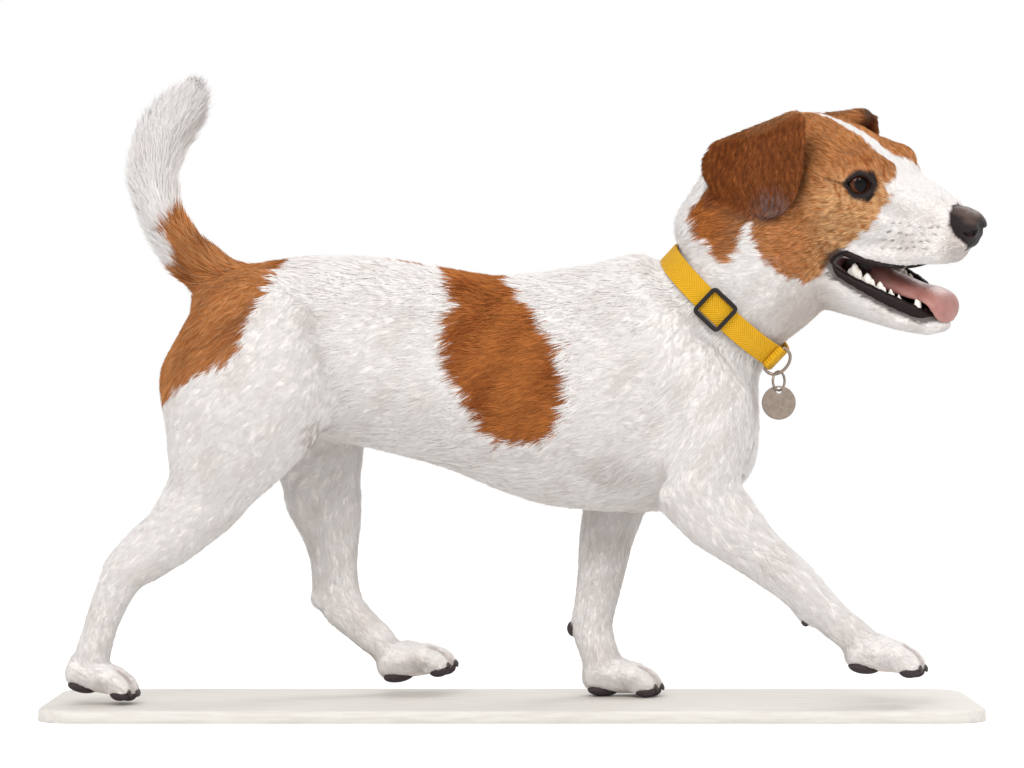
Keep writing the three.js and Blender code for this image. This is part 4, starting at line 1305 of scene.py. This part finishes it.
def both_sides(shapes):
    """Shapes and their mirror images in the middle plane."""
    return shapes + [(points * (1, -1, 1), sides[:, ::-1]) for points, sides in shapes]


# %% [markdown]
# ## Nose
# The nose is bare leather: a pad with two comma-shaped nostrils whose slits run round to the
# sides, and a groove down its middle. It comes from the same kind of field as the skin, in a
# finer block, because the nostrils are holes with soft edges and no lathe or loft has those.

# %% The nose leather
leather = Block(head_place, (0.050, -0.0175, -0.037), (0.0845, 0.0175, 0.000), 0.42 * MM, 12)
pad = blurred(leather.settled(leather.solid("nose")), 1.3 * MM / leather.step)
NOSE_FORMS = [ # points, radii, how soft the join is, whether it is cut out, and whether on both sides
    ([(70.5, 5.6, -17)], (7.2, 6.6, 7.0), 3, False, True), # wings
    ([(67, 0, -11.5)], (9, 8.5, 4.4), 3, False, False), # top
    ([(70.5, 0, -25), (67, 0, -30)], (4.6, 3.8), 3, False, False), # down to the lip
    ([(79.8, 0, -17), (77.6, 0, -25), (72.5, 0, -33)], (0.6, 0.9, 0.9), 1.4, True, False), # groove
    ([(77.6, 5.4, -18.2), (75, 7.2, -19.6), (70, 8.0, -20)], (1.8, 3.0, 2.0), 0.8, True, True), # nostril
    ([(75.5, 9.0, -20.2), (71, 12.2, -20.4), (64, 13.4, -17.4)], (1.5, 0.9, 0.6), 0.8, True, True), # slit
]
for form in NOSE_FORMS:
    shape(leather, pad, *form)
points, quads = leather.mesh(pad)
points = head_place.inside(points) / MM
quads = np.concatenate([quads[:, [0, 1, 2]], quads[:, [0, 2, 3]]])
nose_piece = thing("nose_leather", [(points, quads)], ["nose"], "nose_leather", head_place)

# %% [markdown]
# ## Eyes
# An eye is a dark, wet ball with a slight bulge over the iris, so much of what is seen of it is the
# light that it mirrors. The ball is set in the socket where the solid one is, and the iris is
# painted on it by how far each point lies from the way the eye looks. The bulge is only a fifth of
# a millimetre high, but it moves the highlights as a real one does.

# %% Eyeballs and lid rims
GAZE = {-1: ("right", (0.79, -0.59, 0.14)), 1: ("left", (0.80, 0.58, 0.14))}
eyes = []
for side, (name, look) in GAZE.items():
    centre, look = EYE["at"] * (1, side, 1), unit(look)
    level = unit(np.cross((0, 0, 1), look))
    turn = np.array([level, np.cross(look, level), look])
    points, sides = ball(centre, (EYE["radius"] - 0.15,) * 3, turn, 56, 64)
    from_gaze = (points - centre) @ look / EYE["radius"]
    points = points + (points - centre) * (0.02 * smooth(0.76, 0.97, from_gaze))[:, None]
    eyes.append(thing("eye_ball_" + name, [(points, sides)], ["eye_" + name], "eye", head_place,
                      local=(points - centre) @ turn.T))

LID_OUT = 11.35 # how far the lids' edges lie from the middle of the eye
INNER_CORNER = [(7.4, 0, 8.4), (9.6, -0.4, 6.6), (11.4, -1.0, 5.4)] # along, up and out of the eye
rims = []
for side in (-1, 1):
    line = at_level(circle(90) * (SLIT["half"], 1), 0)
    bow = lid_bow(line[:, 0])
    line[:, 1] = np.where(line[:, 1] > 0, SLIT["high"] * bow, -SLIT["low"] * bow)
    line[:, 2] = np.sqrt(np.maximum(LID_OUT ** 2 - line[:, 0] ** 2 - line[:, 1] ** 2, 9))
    line = (line @ EYE_WAYS + EYE["at"]) * (1, side, 1)
    rims.append(sweep(line, circle(8) * 0.85, line - EYE["at"] * (1, side, 1), ring=True))
    inner = (np.array(INNER_CORNER) @ EYE_WAYS + EYE["at"]) * (1, side, 1)
    rims.append(rod(inner, (1.6, 1.5, 0.9), 12, 10))
lids = thing("lid_rims", rims, (), "nose_leather", head_place)

# %% [markdown]
# ## Mouth
# A panting dog shows its lower teeth, a broad tongue that spills over them, and lips edged in
# black. Teeth are cones with a little bend, the tongue is a loft with a groove down its middle,
# and the lips are rods along the edge of the mouth, half sunk in the skin.

# %% Teeth
def tooth(base, top, radius, bend=0.0, flat=1.0):
    """A pointed tooth from its root to its tip; flat narrows it from cheek to tongue."""
    base, top = np.array(base, float), np.array(top, float)
    t = np.linspace(0, 1, 9)[:, None]
    line = base + (top - base) * t + np.array([bend, 0, 0]) * (t * (1 - t)) * 4
    width = radius * np.sqrt(np.clip(1 - t ** 2.2, 0.004, 1)) * (1 + 0.12 * np.sin(math.pi * t))
    return sweep(line, circle(12) * (1, flat) * width[:, :, None], (0, 1, 0))


teeth = []
CHEEK_TEETH = [ # forward, out, level of the gum, height and half width
    (1.5, 20.2, -61.0, 8.2, 4.0), (11, 19.4, -65.0, 7.6, 4.2), (20, 17.8, -68.5, 7.2, 3.4),
    (27.5, 16.2, -71.0, 6.2, 2.2), (33, 14.8, -72.5, 5.0, 1.7),
]
for f, out, gum, tall, wide in CHEEK_TEETH: # a tall middle point and a low one on each side
    root = np.array([f, out, gum - 4.0])
    teeth.append(tooth(root, root + (-0.5, 0.4, 4 + tall), wide * 0.95, 0.3, 0.6))
    for step, share in ((-0.8, 0.55), (0.85, 0.62)):
        foot = root + (step * wide, 0, 0)
        teeth.append(tooth(foot, foot + (0.1 * step, 0.3, 4 + tall * share), wide * 0.62, 0, 0.68))
teeth.append(tooth((42, 10.6, -83), (44.6, 12.6, -66.5), 3.0, 1.6, 0.85)) # canine
for f, out, tall in ((47.4, 7.6, 7.4), (49.6, 4.6, 6.8), (50.6, 1.6, 6.4)): # incisors
    teeth.append(tooth((f, out, -83), (f + 1.6, out * 1.04, -82 + tall), 1.5, 0.3, 0.75))
teeth = thing("teeth", both_sides(teeth), (), "teeth", head_place)

# %% Tongue
TONGUE = [ # forward, level, half width, half thickness, depth of the groove
    (-6, -59, 8, 5, 0.5), (10, -62, 11.5, 5, 1.8), (26, -64.5, 13, 4.6, 2.8), (38, -65.8, 14, 4.0, 3.0),
    (48, -65.8, 15.6, 3.6, 3.0), (55, -68, 16.4, 3.3, 2.6), (59, -72.4, 15.6, 3.0, 2.0),
    (60.6, -77.4, 12.6, 2.6, 1.2), (60.8, -81.2, 7.4, 2.0, 0.3),
]
table = np.array(TONGUE, float)
table = smooth_line(np.column_stack([table[:, 0], 0 * table[:, 0], table[:, 1], table[:, 2:]]), 64)
wide, tall = circle(48).T
lifted_edge = 0.35 * (1.6 * np.abs(wide) ** 3)
groove = np.exp(-(wide / 0.16) ** 2) * (tall > 0)
section = np.stack([table[:, 3:4] * wide,
                    table[:, 4:5] * (np.sign(tall) * np.abs(tall) ** 0.8 + lifted_edge)
                    - table[:, 5:6] * groove], -1)
high = np.cross(unit(np.gradient(table[:, :3], axis=0)), (0, -1, 0))
tongue = thing("tongue_flesh", [sweep(table[:, :3] + (0, 1.5, 0), section, high)], ["tongue"],
               "tongue", head_place)

# %% Lips and the mouth's far wall
def band(points, half_high, half_thick, outwards, count=90):
    """A flattened rod that stands on edge, facing outwards."""
    line = smooth_line(np.column_stack([points, half_high, half_thick, outwards]), count)
    line[:, 3] *= 1 + 0.05 * np.sin(line[:, 0] * 0.9) + 0.04 * np.sin(line[:, 0] * 2.3 + 1)
    ends = np.sin(np.linspace(0, math.pi, count)).clip(0.02) ** 0.12
    section = circle(18)[None] * (line[:, [3, 4]] * ends[:, None])[:, None]
    return sweep(line[:, :3], section, unit(line[:, 5:8]))


lip = np.array(LIP, float)
outwards = np.array([(0, 1, 0.2)] * 6 + [(0.1, 1, 0.1), (0.25, 1, 0), (0.6, 0.8, 0), (1, 0, 0)])
thick = np.array((1.8, 2.2, 2.5, 2.7, 2.8, 2.8, 2.8, 2.7, 2.4, 2.0))
FLIP = (1, -1, 1)
raised = lip + np.outer(np.interp(lip[:, 0], (-12, 30, 56), (1, 4, 0)), (0, 0, 1)) # the far side
lips = [band(*(np.concatenate([near, far[-2::-1]]) for near, far in (
    (lip * FLIP, raised), (LIP_SIZE, LIP_SIZE), (thick, thick), (outwards * FLIP, outwards))), 180)]
upper = [(-5, 28.4, -45), (4, 27.2, -46.9), (14, 25.2, -48.5), (25, 22.0, -49.2), (40, 16.9, -47.2),
         (52, 12.0, -42.5)]
lips += both_sides([rod(upper, (2.4, 2.3, 2.1, 1.7, 1.2, 0.8), 60, 12)])
shade_band = [(-10, 18, -53), (0, 16.5, -54), (10, 15, -55)] # a band inside the cheek behind the teeth, black as painted shade at the back of the mouth
lips += both_sides([band(shade_band, (7, 6.5, 4.5), (2.4, 2.2, 1.8), np.array([(0, 1, 0)] * 3), 30)])
lips = thing("lips", lips, (), "nose_leather", head_place)

# %% [markdown]
# ## Claws and pads
# Claws grow from the toes and curve down to the ground; pads are thick black leather under each
# toe and behind them. They repeat the places of the foot's bones, so they move with any change to
# the feet.

# %% Claws and pads
BASE_TOP = 8.15


def standing(block, made):
    """A foot's shape, as the whole dog sees it, pressed flat where it meets the base."""
    points, sides = made
    points = block.place.outside(points * MM) / MM
    return np.column_stack([points[:, :2], np.maximum(points[:, 2], BASE_TOP)]), sides


claw_shapes, pad_shapes = [], []
for name, block in feet.items():
    size = FEET[name][2]
    for bones in toes(size):
        tip = np.array(bones[-1])
        line = tip + size * np.array([(1.5, 0, -0.4), (5.0, 0, -1.0), (6.7, 0, -2.6), (7.5, 0, -4.5)])
        claw_shapes.append(standing(block, rod(line, np.array((2.2, 2.1, 1.6, 0.6)) * size, 16, 10)))
        pad = ball(tip + np.array([-0.5, 0, -4.2]) * size, np.array([6.6, 4.6, 4.2]) * size)
        pad_shapes.append(standing(block, pad))
    points, sides = ball(np.array([8, 0, 4.4]) * size, np.array([10.4, 10.4, 4.6]) * size, None, 14, 24)
    points[:, 0] -= 0.045 * points[:, 1] ** 2 # a heart-shaped heel pad
    pad_shapes.append(standing(block, (points, sides)))
for at, radii in (([187.5, -43.2, 62.5], [3.3, 3.5, 4.4]), ([41, 33, 52], [4.8, 4.4, 5.6])):
    pad_shapes.append(ball(np.array(at), np.array(radii))) # behind the wrists
claws = thing("claws", claw_shapes, (), "claws")
paw_pads = thing("paw_pads", pad_shapes, (), "nose_leather")

# %% Whiskers
whiskers = []
chance = np.random.default_rng(11)
for k in range(9):
    row, step = divmod(k, 3)
    start = np.array([34 + 7 * step - 2 * row, 17.5 - 1.4 * step, -27 - 5 * row])
    out = unit([-0.35 + 0.1 * step, 1.0, -0.25 - 0.25 * row]) * chance.uniform(14, 22)
    bent = [start, start + 0.5 * out, start + out + (-3, 0, -2)]
    whiskers.append(rod(bent, (0.13, 0.10, 0.03), 12, 5))
whiskers = thing("whiskers", both_sides(whiskers), (), "coat", head_place)

# %% [markdown]
# ## Collar and tag
# The collar is woven webbing through a plastic slider and buckle, with a D-ring held in a fold,
# a small split ring and a blank tag. Each follows its solid's sizes. The webbing carries its own
# coordinates, along and across, so that the weave can follow the strap round the neck.

# %% The strap's frame
STRAP = {"nape": 50.5, "side": 46.0, "width": 15.5, "thick": 2.2}
nape = np.array([-0.729, 0, 0.684])
nape = unit(nape - COLLAR_AXIS * (nape @ COLLAR_AXIS))
collar = Place(COLLAR_AT, [nape, np.cross(COLLAR_AXIS, nape), COLLAR_AXIS])


def on_strap(turn, lift):
    """A place on the strap: along it, along the neck and out; lift and result in metres."""
    angle = math.radians(turn)
    out = unit([math.cos(angle) / STRAP["nape"], math.sin(angle) / STRAP["side"], 0])
    at = np.array([STRAP["nape"] * math.cos(angle), STRAP["side"] * math.sin(angle), 0]) + out * lift
    rows = np.array([(-out[1], out[0], 0), (0, 0, 1), out])
    return Place(collar.outside(at * MM), collar.turned(rows))


def pillow(width, high, corner=0.6, steps=4):
    """A flat section with round edges: pairs of (across, up)."""
    quarter = np.linspace(0, math.pi / 2, steps)
    inset = (width / 2 - corner, high / 2 - corner)
    turns = [quarter + k * math.pi / 2 for k in range(4)]
    return np.concatenate([np.stack([np.cos(turn), np.sin(turn)], 1) * corner + np.array(way) * inset
                           for turn, way in zip(turns, ((1, 1), (-1, 1), (-1, -1), (1, -1)))])


print("strap of", STRAP["width"], "by", STRAP["thick"], "mm")

# %% The strap
half_thick, corner = STRAP["thick"] / 2, 0.7
middle = at_level(circle(288) * (STRAP["nape"] - half_thick, STRAP["side"] - half_thick), 0)
section = pillow(STRAP["width"], STRAP["thick"], corner, 5)
flat_half = STRAP["width"] / 2 - corner
strip = at_level(np.linspace(flat_half, -flat_half, 16)[1:-1], half_thick)
section = np.concatenate([section[:5], strip, section[5:15], strip[::-1] * (1, -1), section[15:]])
outwards = unit(middle / (np.array([STRAP["nape"], STRAP["side"], 1]) ** 2))
length = np.concatenate([[0], np.cumsum(np.linalg.norm(np.diff(middle, axis=0), axis=1))])
weave = np.column_stack([np.repeat(length, len(section)), np.tile(section, (len(middle), 1))])
strap_piece = thing("collar_webbing", [sweep(middle, section, outwards, ring=True)], ["collar_strap"],
                    "webbing", collar, weave=weave)


# %% Slider, keeper and buckle
slider_line = at_level(pillow(19.2, 19.2, 2.3, 8), 1.3)
slider = thing("slider_frame", [sweep(slider_line, pillow(2.75, 2.6, 0.75), (0, 0, 1), True)],
               ["collar_slider"], "collar_plastic", on_strap(86, 0.35))
webbing_fold = wrapped([at_level(pillow(7, 16.5, 2, 5) * s, z)
                        for s, z in ((0.93, 0), (1, 0.5), (1, 3.8), (0.93, 4.4))])
keeper = thing("ring_keeper", [webbing_fold], ["collar_keeper"], "webbing", on_strap(150, 0.35),
               weave=webbing_fold[0])
buckle_bits = [wrapped([at_level(pillow(27 * s, 20 * s, 4.6, 8), z) for s, z in (
    (0.96, 0), (1, 0.6), (1, 4.6), (0.97, 5.9), (0.90, 6.5), (0.5, 6.5))])]
for k in (-1, 1): # the prongs' sides, which are pressed to open it
    bar = np.stack([at_level(pillow(9, 2.2, 1, 5), z) for z in (2.2, 4.6)])
    buckle_bits.append(wrapped(bar + (2, k * 9.2, 0)))
buckle = thing("side_buckle", buckle_bits, ["collar_buckle"], "collar_plastic", on_strap(-120, 0.35))

# %% Rings and tag
half, deep = 9.5, 9.6 # of the D-ring
arc = np.linspace(0, math.pi, 40)
bow = np.stack([half * np.cos(arc), deep * 0.3 + deep * 0.7 * np.sin(arc), 0 * arc], 1)
flat_side = np.stack([np.linspace(-half, half, 14), np.zeros(14), np.zeros(14)], 1)
edge = np.stack([np.full(3, half), deep * 0.3 * np.array([0.25, 0.5, 0.75]), np.zeros(3)], 1)
loop = np.concatenate([bow, edge[::-1] * (-1, 1, 1), flat_side, edge])
hung = rotation(y=115) @ rotation(z=90)
loop = loop @ hung.T
d_ring = thing("d_ring", [sweep(loop, circle(14), unit(hung[:, 2]), True)], ["collar_ring"],
               "ring_metal", on_strap(150, 0.35 + STRAP["thick"]))
RING_LOW = np.array([171.3, -29, 218.9]) # the lowest point of the D-ring's middle line
RING, OVERLAP = 6.1, 1 + 0.8 + 0.35 # the split ring's radius; two wires and a little air
spun = rotation(z=48)
loop = circle(72) * RING
loop = np.stack([loop[:, 0], 0 * loop[:, 0], loop[:, 1]], 1) @ spun.T
loop = loop + RING_LOW - (0, 0, RING - OVERLAP)
split_ring = thing("split_ring", [sweep(loop, circle(12) * 0.8, spun[:, 1], True)], ["tag_ring"],
                   "ring_metal")

TAG = {"radius": 10.9, "hole": 1.9, "rim": 1.1}
PROFILE = [(0, 0.45), (0.02, 0.62), (0.08, 0.65), (0.3, 0.5), (0.6, 0.5), (0.86, 0.5), (0.93, 0.65),
           (0.98, 0.62), (1, 0.4)] # from hole to edge, with a raised rim at both
hole_up = TAG["radius"] - TAG["rim"] - TAG["hole"]
turn = circle(96)
rows = []
for share, z in PROFILE + [(share, -z) for share, z in PROFILE[::-1]]:
    radius = TAG["hole"] + (TAG["radius"] - TAG["hole"]) * share
    centre = hole_up * (1 - share)
    rows.append(np.stack([radius * turn[:, 0], -z * np.ones(96), centre + radius * turn[:, 1]], 1))
disc = np.stack(rows) + RING_LOW - (0, 0, 2 * RING - OVERLAP + hole_up)
tag = thing("name_tag", [wrapped(disc, ring=True)], ["tag_disc"], "ring_metal")

# %% Stand
rows = [at_level(pillow(600 - 2 * inset, 170 - 2 * inset, 24 - inset, 14), z)
        for inset, z in ((0.5, 0), (0, 0.5), (0, 6.5), (0.45, 7.55), (1.5, 8.0), (20, 8.0))]
stand = thing("stand_plinth", [wrapped(rows)], ["stand_base"], "stand_wood")

# %% [markdown]
# ## Finishes
# Every finish is made from nodes that work on the piece's own coordinates, so it stays put from
# any side. Writing those nodes one at a time hides the idea behind them, so a small class lets
# sums on values be written as sums; anything that isn't a sum comes from one method, which takes
# the node's kind, its settings and its inputs.

# %% A small language for nodes
def either_way(how):
    """A sum's two methods: the node's value comes first in one and last in the other."""
    return (lambda self, other: self.work(how, self, other),
            lambda self, other: self.work(how, other, self))


class Value:
    """What comes out of a node. Sums on it add the nodes that work them out."""

    __add__, __radd__ = either_way("ADD")
    __sub__, __rsub__ = either_way("SUBTRACT")
    __mul__, __rmul__ = either_way("MULTIPLY")
    __pow__, __rpow__ = either_way("POWER")

    def __init__(self, finish, socket):
        self.finish, self.socket = finish, socket

    def work(self, how, *inputs):
        kind = "ShaderNodeVectorMath" if self.socket.type == "VECTOR" else "ShaderNodeMath"
        return self.finish.node(kind, {"operation": how}, dict(enumerate(inputs)))

    def ramp(self, low, high):
        """0 at low, 1 at high, and a soft ramp between."""
        return self.finish.node("ShaderNodeMapRange", {"interpolation_type": "SMOOTHSTEP"},
                                {"Value": self, "From Min": low, "From Max": high})

    def part(self, axis):
        """One of a vector's three numbers."""
        return self.finish.node("ShaderNodeSeparateXYZ", {}, {0: self}, axis)


print("sums on values: + - * **")


# %% One finish
class Finish:
    """One material: a shader whose steady values are set on it, and the nodes that vary them."""

    def __init__(self, name, **steady):
        self.material = bpy.data.materials.new(name)
        self.material.use_nodes = True
        self.nodes, self.links = self.material.node_tree.nodes, self.material.node_tree.links
        self.shader = self.nodes["Principled BSDF"]
        self.vary(**steady)
        self.place = self.node("ShaderNodeTexCoord", {}, {}, "Object")

    def feed(self, socket, value):
        """Links a value to a socket, or sets the socket to it; a colour can be in letters."""
        if isinstance(value, Value):
            self.links.new(value.socket, socket)
        elif isinstance(value, str):
            socket.default_value = (*lift(value), 1)
        else:
            socket.default_value = value

    def node(self, kind, settings, inputs, out=0):
        """A node of any kind: settings first, then inputs by name or place; gives one output."""
        made = self.nodes.new(kind)
        for key, value in settings.items():
            setattr(made, key, value)
        for key, value in inputs.items():
            self.feed(made.inputs[key], value)
        return Value(self, made.outputs[out])

    def vary(self, **inputs):
        """Sets or links the shader's own sockets, written with _ for a space."""
        for key, value in inputs.items():
            self.feed(self.shader.inputs[key.replace("_", " ")], value)
        return self

    def noise(self, scale, detail=2.0, rough=0.5, place=None):
        """Soft random values around one half; scale is in waves a metre."""
        return self.node("ShaderNodeTexNoise", {}, {"Vector": place or self.place, "Scale": scale,
                                                    "Detail": detail, "Roughness": rough})

    def pebbles(self, scale):
        """Distance to the nearest of many scattered spots."""
        return self.node("ShaderNodeTexVoronoi", {}, {"Vector": self.place, "Scale": scale})

    def stored(self, name, kind="Vector"):
        """What the points of the mesh carry under a name."""
        return self.node("ShaderNodeAttribute", {"attribute_name": name}, {}, kind)

    def blend(self, share, a, b):
        """Colour a turned to colour b by a share."""
        return self.node("ShaderNodeMix", {"data_type": "RGBA"}, {0: share, 6: a, 7: b}, 2)

    def bump(self, height, depth, strength=1.0):
        """Raises the surface by height times depth, in metres."""
        return self.vary(Normal=self.node("ShaderNodeBump", {}, {
            "Height": height, "Distance": depth, "Strength": strength}))

    def worn_by(self, *pieces):
        """Puts the finish on pieces."""
        for piece in pieces:
            piece.data.materials.append(self.material)
        print(self.material.name, "on", len(pieces), "pieces")


# %% [markdown]
# ## Coat and skin
# Hair scatters light rather than mirroring it, so it is rough, with a faint sheen. Both take
# their colour from the painted corners. The skin has fine bumps between the tufts, where the
# shortest hair lies flat, and is a little pinker, as skin under a white coat is, and darker, as
# painted shade in the gaps of the coat.

# %% Fur and skin
fur = Finish("fur", Roughness=0.78, Specular_IOR_Level=0.18)
fur.vary(Base_Color=fur.stored("tint", "Color")).worn_by(*coat.values())
under = Finish("skin_and_underhair", Roughness=0.8, Specular_IOR_Level=0.25)
fine = under.noise(1500, 3, 0.6)
under.vary(Base_Color=under.stored("tint", "Color"))
under.bump(fine + under.noise(420, 2), 0.0005, 0.7).worn_by(skin)

# %% [markdown]
# ## Leather, eyes and mouth
# Nose, lids, lips and pads are dark leather with different bumps: pebbles on the nose and the
# pads, and low folds on the lips and lids. The eye's rings are drawn by distance from the way the
# eye looks. A thin clear coat makes lips, teeth and tongue wet without lightening their colour,
# and the eye is simply very smooth.

# %% Nose, lips, lids and pads
nose_finish = Finish("nose_leather", Roughness=0.42, Specular_IOR_Level=0.25,
                     Coat_Weight=0.05, Coat_Roughness=0.25)
cells = nose_finish.pebbles(1150)
facing = nose_finish.node("ShaderNodeNewGeometry", {}, {}, "Normal")
upwards = nose_finish.node("ShaderNodeVectorMath", {"operation": "DOT_PRODUCT"},
                           {0: facing, 1: head_place.turned([0.25, 0, 0.97])}, "Value")
# a painted highlight: the leather is paler where it faces up towards the lamps, broken up by noise
lit_top = upwards.ramp(0.35, 1.0)
top_highlight = lit_top * (0.45 + 0.7 * nose_finish.noise(260, 2))
nose_finish.vary(Base_Color=nose_finish.blend(top_highlight, "150b0a", "5a453e"))
nose_finish.bump(1 - cells, 0.00045, 0.9).worn_by(nose_piece)

lip_finish = Finish("lips_and_lids", Base_Color="1c1110", Roughness=0.5, Specular_IOR_Level=0.14,
                    Coat_Weight=0.05, Coat_Roughness=0.2)
lip_finish.bump(lip_finish.noise(420, 3), 0.0009, 0.8).worn_by(lips, lids)
pad_finish = Finish("pads", Base_Color="33272a", Roughness=0.75)
pad_finish.bump(1 - pad_finish.pebbles(1500), 0.0004, 0.8).worn_by(paw_pads)

# %% Eyes
PUPIL, IRIS = 3.9, 7.6 # radii in mm
eye_finish = Finish("eye", Roughness=0.03, Specular_IOR_Level=0.14)
spot = eye_finish.stored("local")
x, y = spot.part(0), spot.part(1)
out = (x * x + y * y) ** 0.5
turn = eye_finish.node("ShaderNodeMath", {"operation": "ARCTAN2"}, {0: y, 1: x})
rays = eye_finish.noise(1.0, 3, 0.7, place=eye_finish.node(
    "ShaderNodeCombineXYZ", {}, {0: turn * 9, 1: out * 0.35, 2: 0}))
ring = out.ramp(4.1, 5.2) * (1 - out.ramp(6.2, 7.3))
low_side = 0.35 + 0.65 * (1 - y.ramp(-3, 4))
brown = eye_finish.blend(ring * low_side * rays.ramp(0.25, 0.75), "160b07", "6e3a18")
dark_middle = eye_finish.blend(1 - out.ramp(PUPIL, PUPIL + 0.7), brown, "050404")
edged = eye_finish.blend(out.ramp(IRIS - 0.9, IRIS), dark_middle, "120b0a")
white_of = eye_finish.blend(out.ramp(IRIS + 0.3, IRIS + 1.2), edged, "4a3833")
eye_finish.vary(Base_Color=white_of).worn_by(*eyes)

# %% Teeth and tongue
tooth_finish = Finish("teeth", Roughness=0.22, Coat_Weight=0.4, Coat_Roughness=0.1)
yellowed = tooth_finish.noise(240, 3).ramp(0.35, 0.75)
tooth_finish.vary(Base_Color=tooth_finish.blend(yellowed, "f6f2ec", "e6dccb")).worn_by(teeth)
tongue_finish = Finish("tongue", Roughness=0.42, Coat_Weight=0.2, Coat_Roughness=0.25,
                       Subsurface_Weight=0.12, Subsurface_Scale=0.004)
blush = tongue_finish.noise(90, 3).ramp(0.3, 0.75)
tongue_finish.vary(Base_Color=tongue_finish.blend(blush, "a6736a", "8c5a50"))
tongue_finish.bump(tongue_finish.noise(1400, 2), 0.0004, 0.6).worn_by(tongue)
claw_finish = Finish("claws", Roughness=0.35)
streaks = claw_finish.noise(700, 2)
claw_finish.vary(Base_Color=claw_finish.blend(streaks, "241e1c", "4a3f3a")).worn_by(claws)
Finish("whiskers", Base_Color="cfc6bd", Roughness=0.5).worn_by(whiskers)

# %% [markdown]
# ## Webbing, plastic and metal
# Webbing is flat yarn in slanting ribs, which lean one way on each half of the strap. Two sines
# of the strap's own coordinates give the ribs and the yarns. The plastic is moulded, and the metal
# is cheap and worn, so its roughness wanders.

# %% Collar finishes
web_finish = Finish("webbing", Roughness=0.7, Specular_IOR_Level=0.25)
run = web_finish.stored("weave")
along_strap, over_strap = run.part(0), run.part(1)
away = over_strap.work("ABSOLUTE", over_strap)
slant = (along_strap * 3.4) + (away * 3.4)
ribs = slant.work("SINE", slant)
across_yarns = over_strap * 8.4
yarns = across_yarns.work("SINE", across_yarns)
weave_height = ribs * 0.5 + 0.25 * yarns + 0.5
shade_of = weave_height.ramp(-0.2, 0.9)
soil = web_finish.noise(120, 3).ramp(0.35, 0.8)
yellow = web_finish.blend(shade_of, "c78c0c", "e7b21b")
web_finish.vary(Base_Color=web_finish.blend(soil * 0.2, yellow, "b98a1c"))
web_finish.bump(weave_height, 0.0005, 0.9).worn_by(strap_piece, keeper)
plastic = Finish("moulded_plastic", Base_Color="1a1413", Roughness=0.38, Specular_IOR_Level=0.25)
plastic.bump(plastic.noise(2500, 1), 0.0001, 0.3).worn_by(slider, buckle)
metal = Finish("worn_metal", Metallic=1.0)
scuffs = metal.noise(300, 4, 0.65)
metal.vary(Base_Color=metal.blend(scuffs.ramp(0.3, 0.75), "978a7f", "83766c"))
metal.vary(Roughness=0.3 + 0.2 * scuffs).bump(scuffs, 0.00006, 0.4).worn_by(d_ring, split_ring, tag)

# %% [markdown]
# ## Stand, floor, light and camera
# The base is painted board: pale, matt and faintly streaked by the brush. It stands on a plain
# white floor under a white sky, with two soft lamps above and in front and a third behind, as in
# a studio. The camera stands level at the dog's side with a long lens.

# %% Stand and floor
board = Finish("painted_board", Roughness=0.62)
stretched = board.place * (0.25, 3.0, 3.0)
grain = board.noise(160, 3, 0.5, stretched)
board.vary(Base_Color=board.blend(grain.ramp(0.35, 0.7), "cfcbc5", "c5c0b9"))
board.bump(grain, 0.0003, 0.4).worn_by(stand)

mesh = bpy.data.meshes.new("floor")
mesh.from_pydata([(-30, -30, 0), (30, -30, 0), (30, 30, 0), (-30, 30, 0)], [], [(0, 1, 2, 3)])
floor = placed("floor", mesh)
Finish("floor", Base_Color=(0.82, 0.82, 0.82, 1), Roughness=0.9,
       Emission_Color=(1, 1, 1, 1), Emission_Strength=0.2).worn_by(floor)

# %% Light
sky = bpy.data.worlds.new("sky")
bpy.context.scene.world = sky
sky.use_nodes = True
background = sky.node_tree.nodes["Background"].inputs
background["Color"].default_value = (1, 1, 1, 1)
background["Strength"].default_value = 1.0


def lamp(name, at, target, size, watts):
    """A square soft lamp that faces a target."""
    light = bpy.data.lights.new(name, "AREA")
    light.shape, light.size, light.energy = "SQUARE", size, watts
    hung = placed(name, light)
    hung.location = at
    hung.rotation_euler = (Vector(target) - Vector(at)).to_track_quat("-Z", "Y").to_euler()


lamp("key", (-0.7, -2.3, 1.8), (0, 0, 0.25), 1.0, 29)
lamp("fill", (1.1, -2.3, 1.85), (0, 0, 0.25), 0.6, 14) # its mirror image is the glint in the eye
lamp("rim", (1.2, 1.8, 2.2), (0, 0, 0.3), 1.2, 22)

# %% Camera
view = bpy.data.cameras.new("camera")
view.lens, view.sensor_width = 129.8, 36.0
camera = placed("camera", view)
camera.location = (0, -2.4, 0.213)
camera.rotation_euler = (math.radians(90), 0, 0)
bpy.context.scene.camera = camera
bpy.context.scene.view_settings.view_transform = "Standard"
print("camera with a lens of", round(view.lens, 1), "mm")

# %% Ride, replace and finish
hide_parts(*FLESH, "head", "jaw", "ear_right", "ear_left")
for piece in (skin, *coat.values()):
    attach(piece, "root")
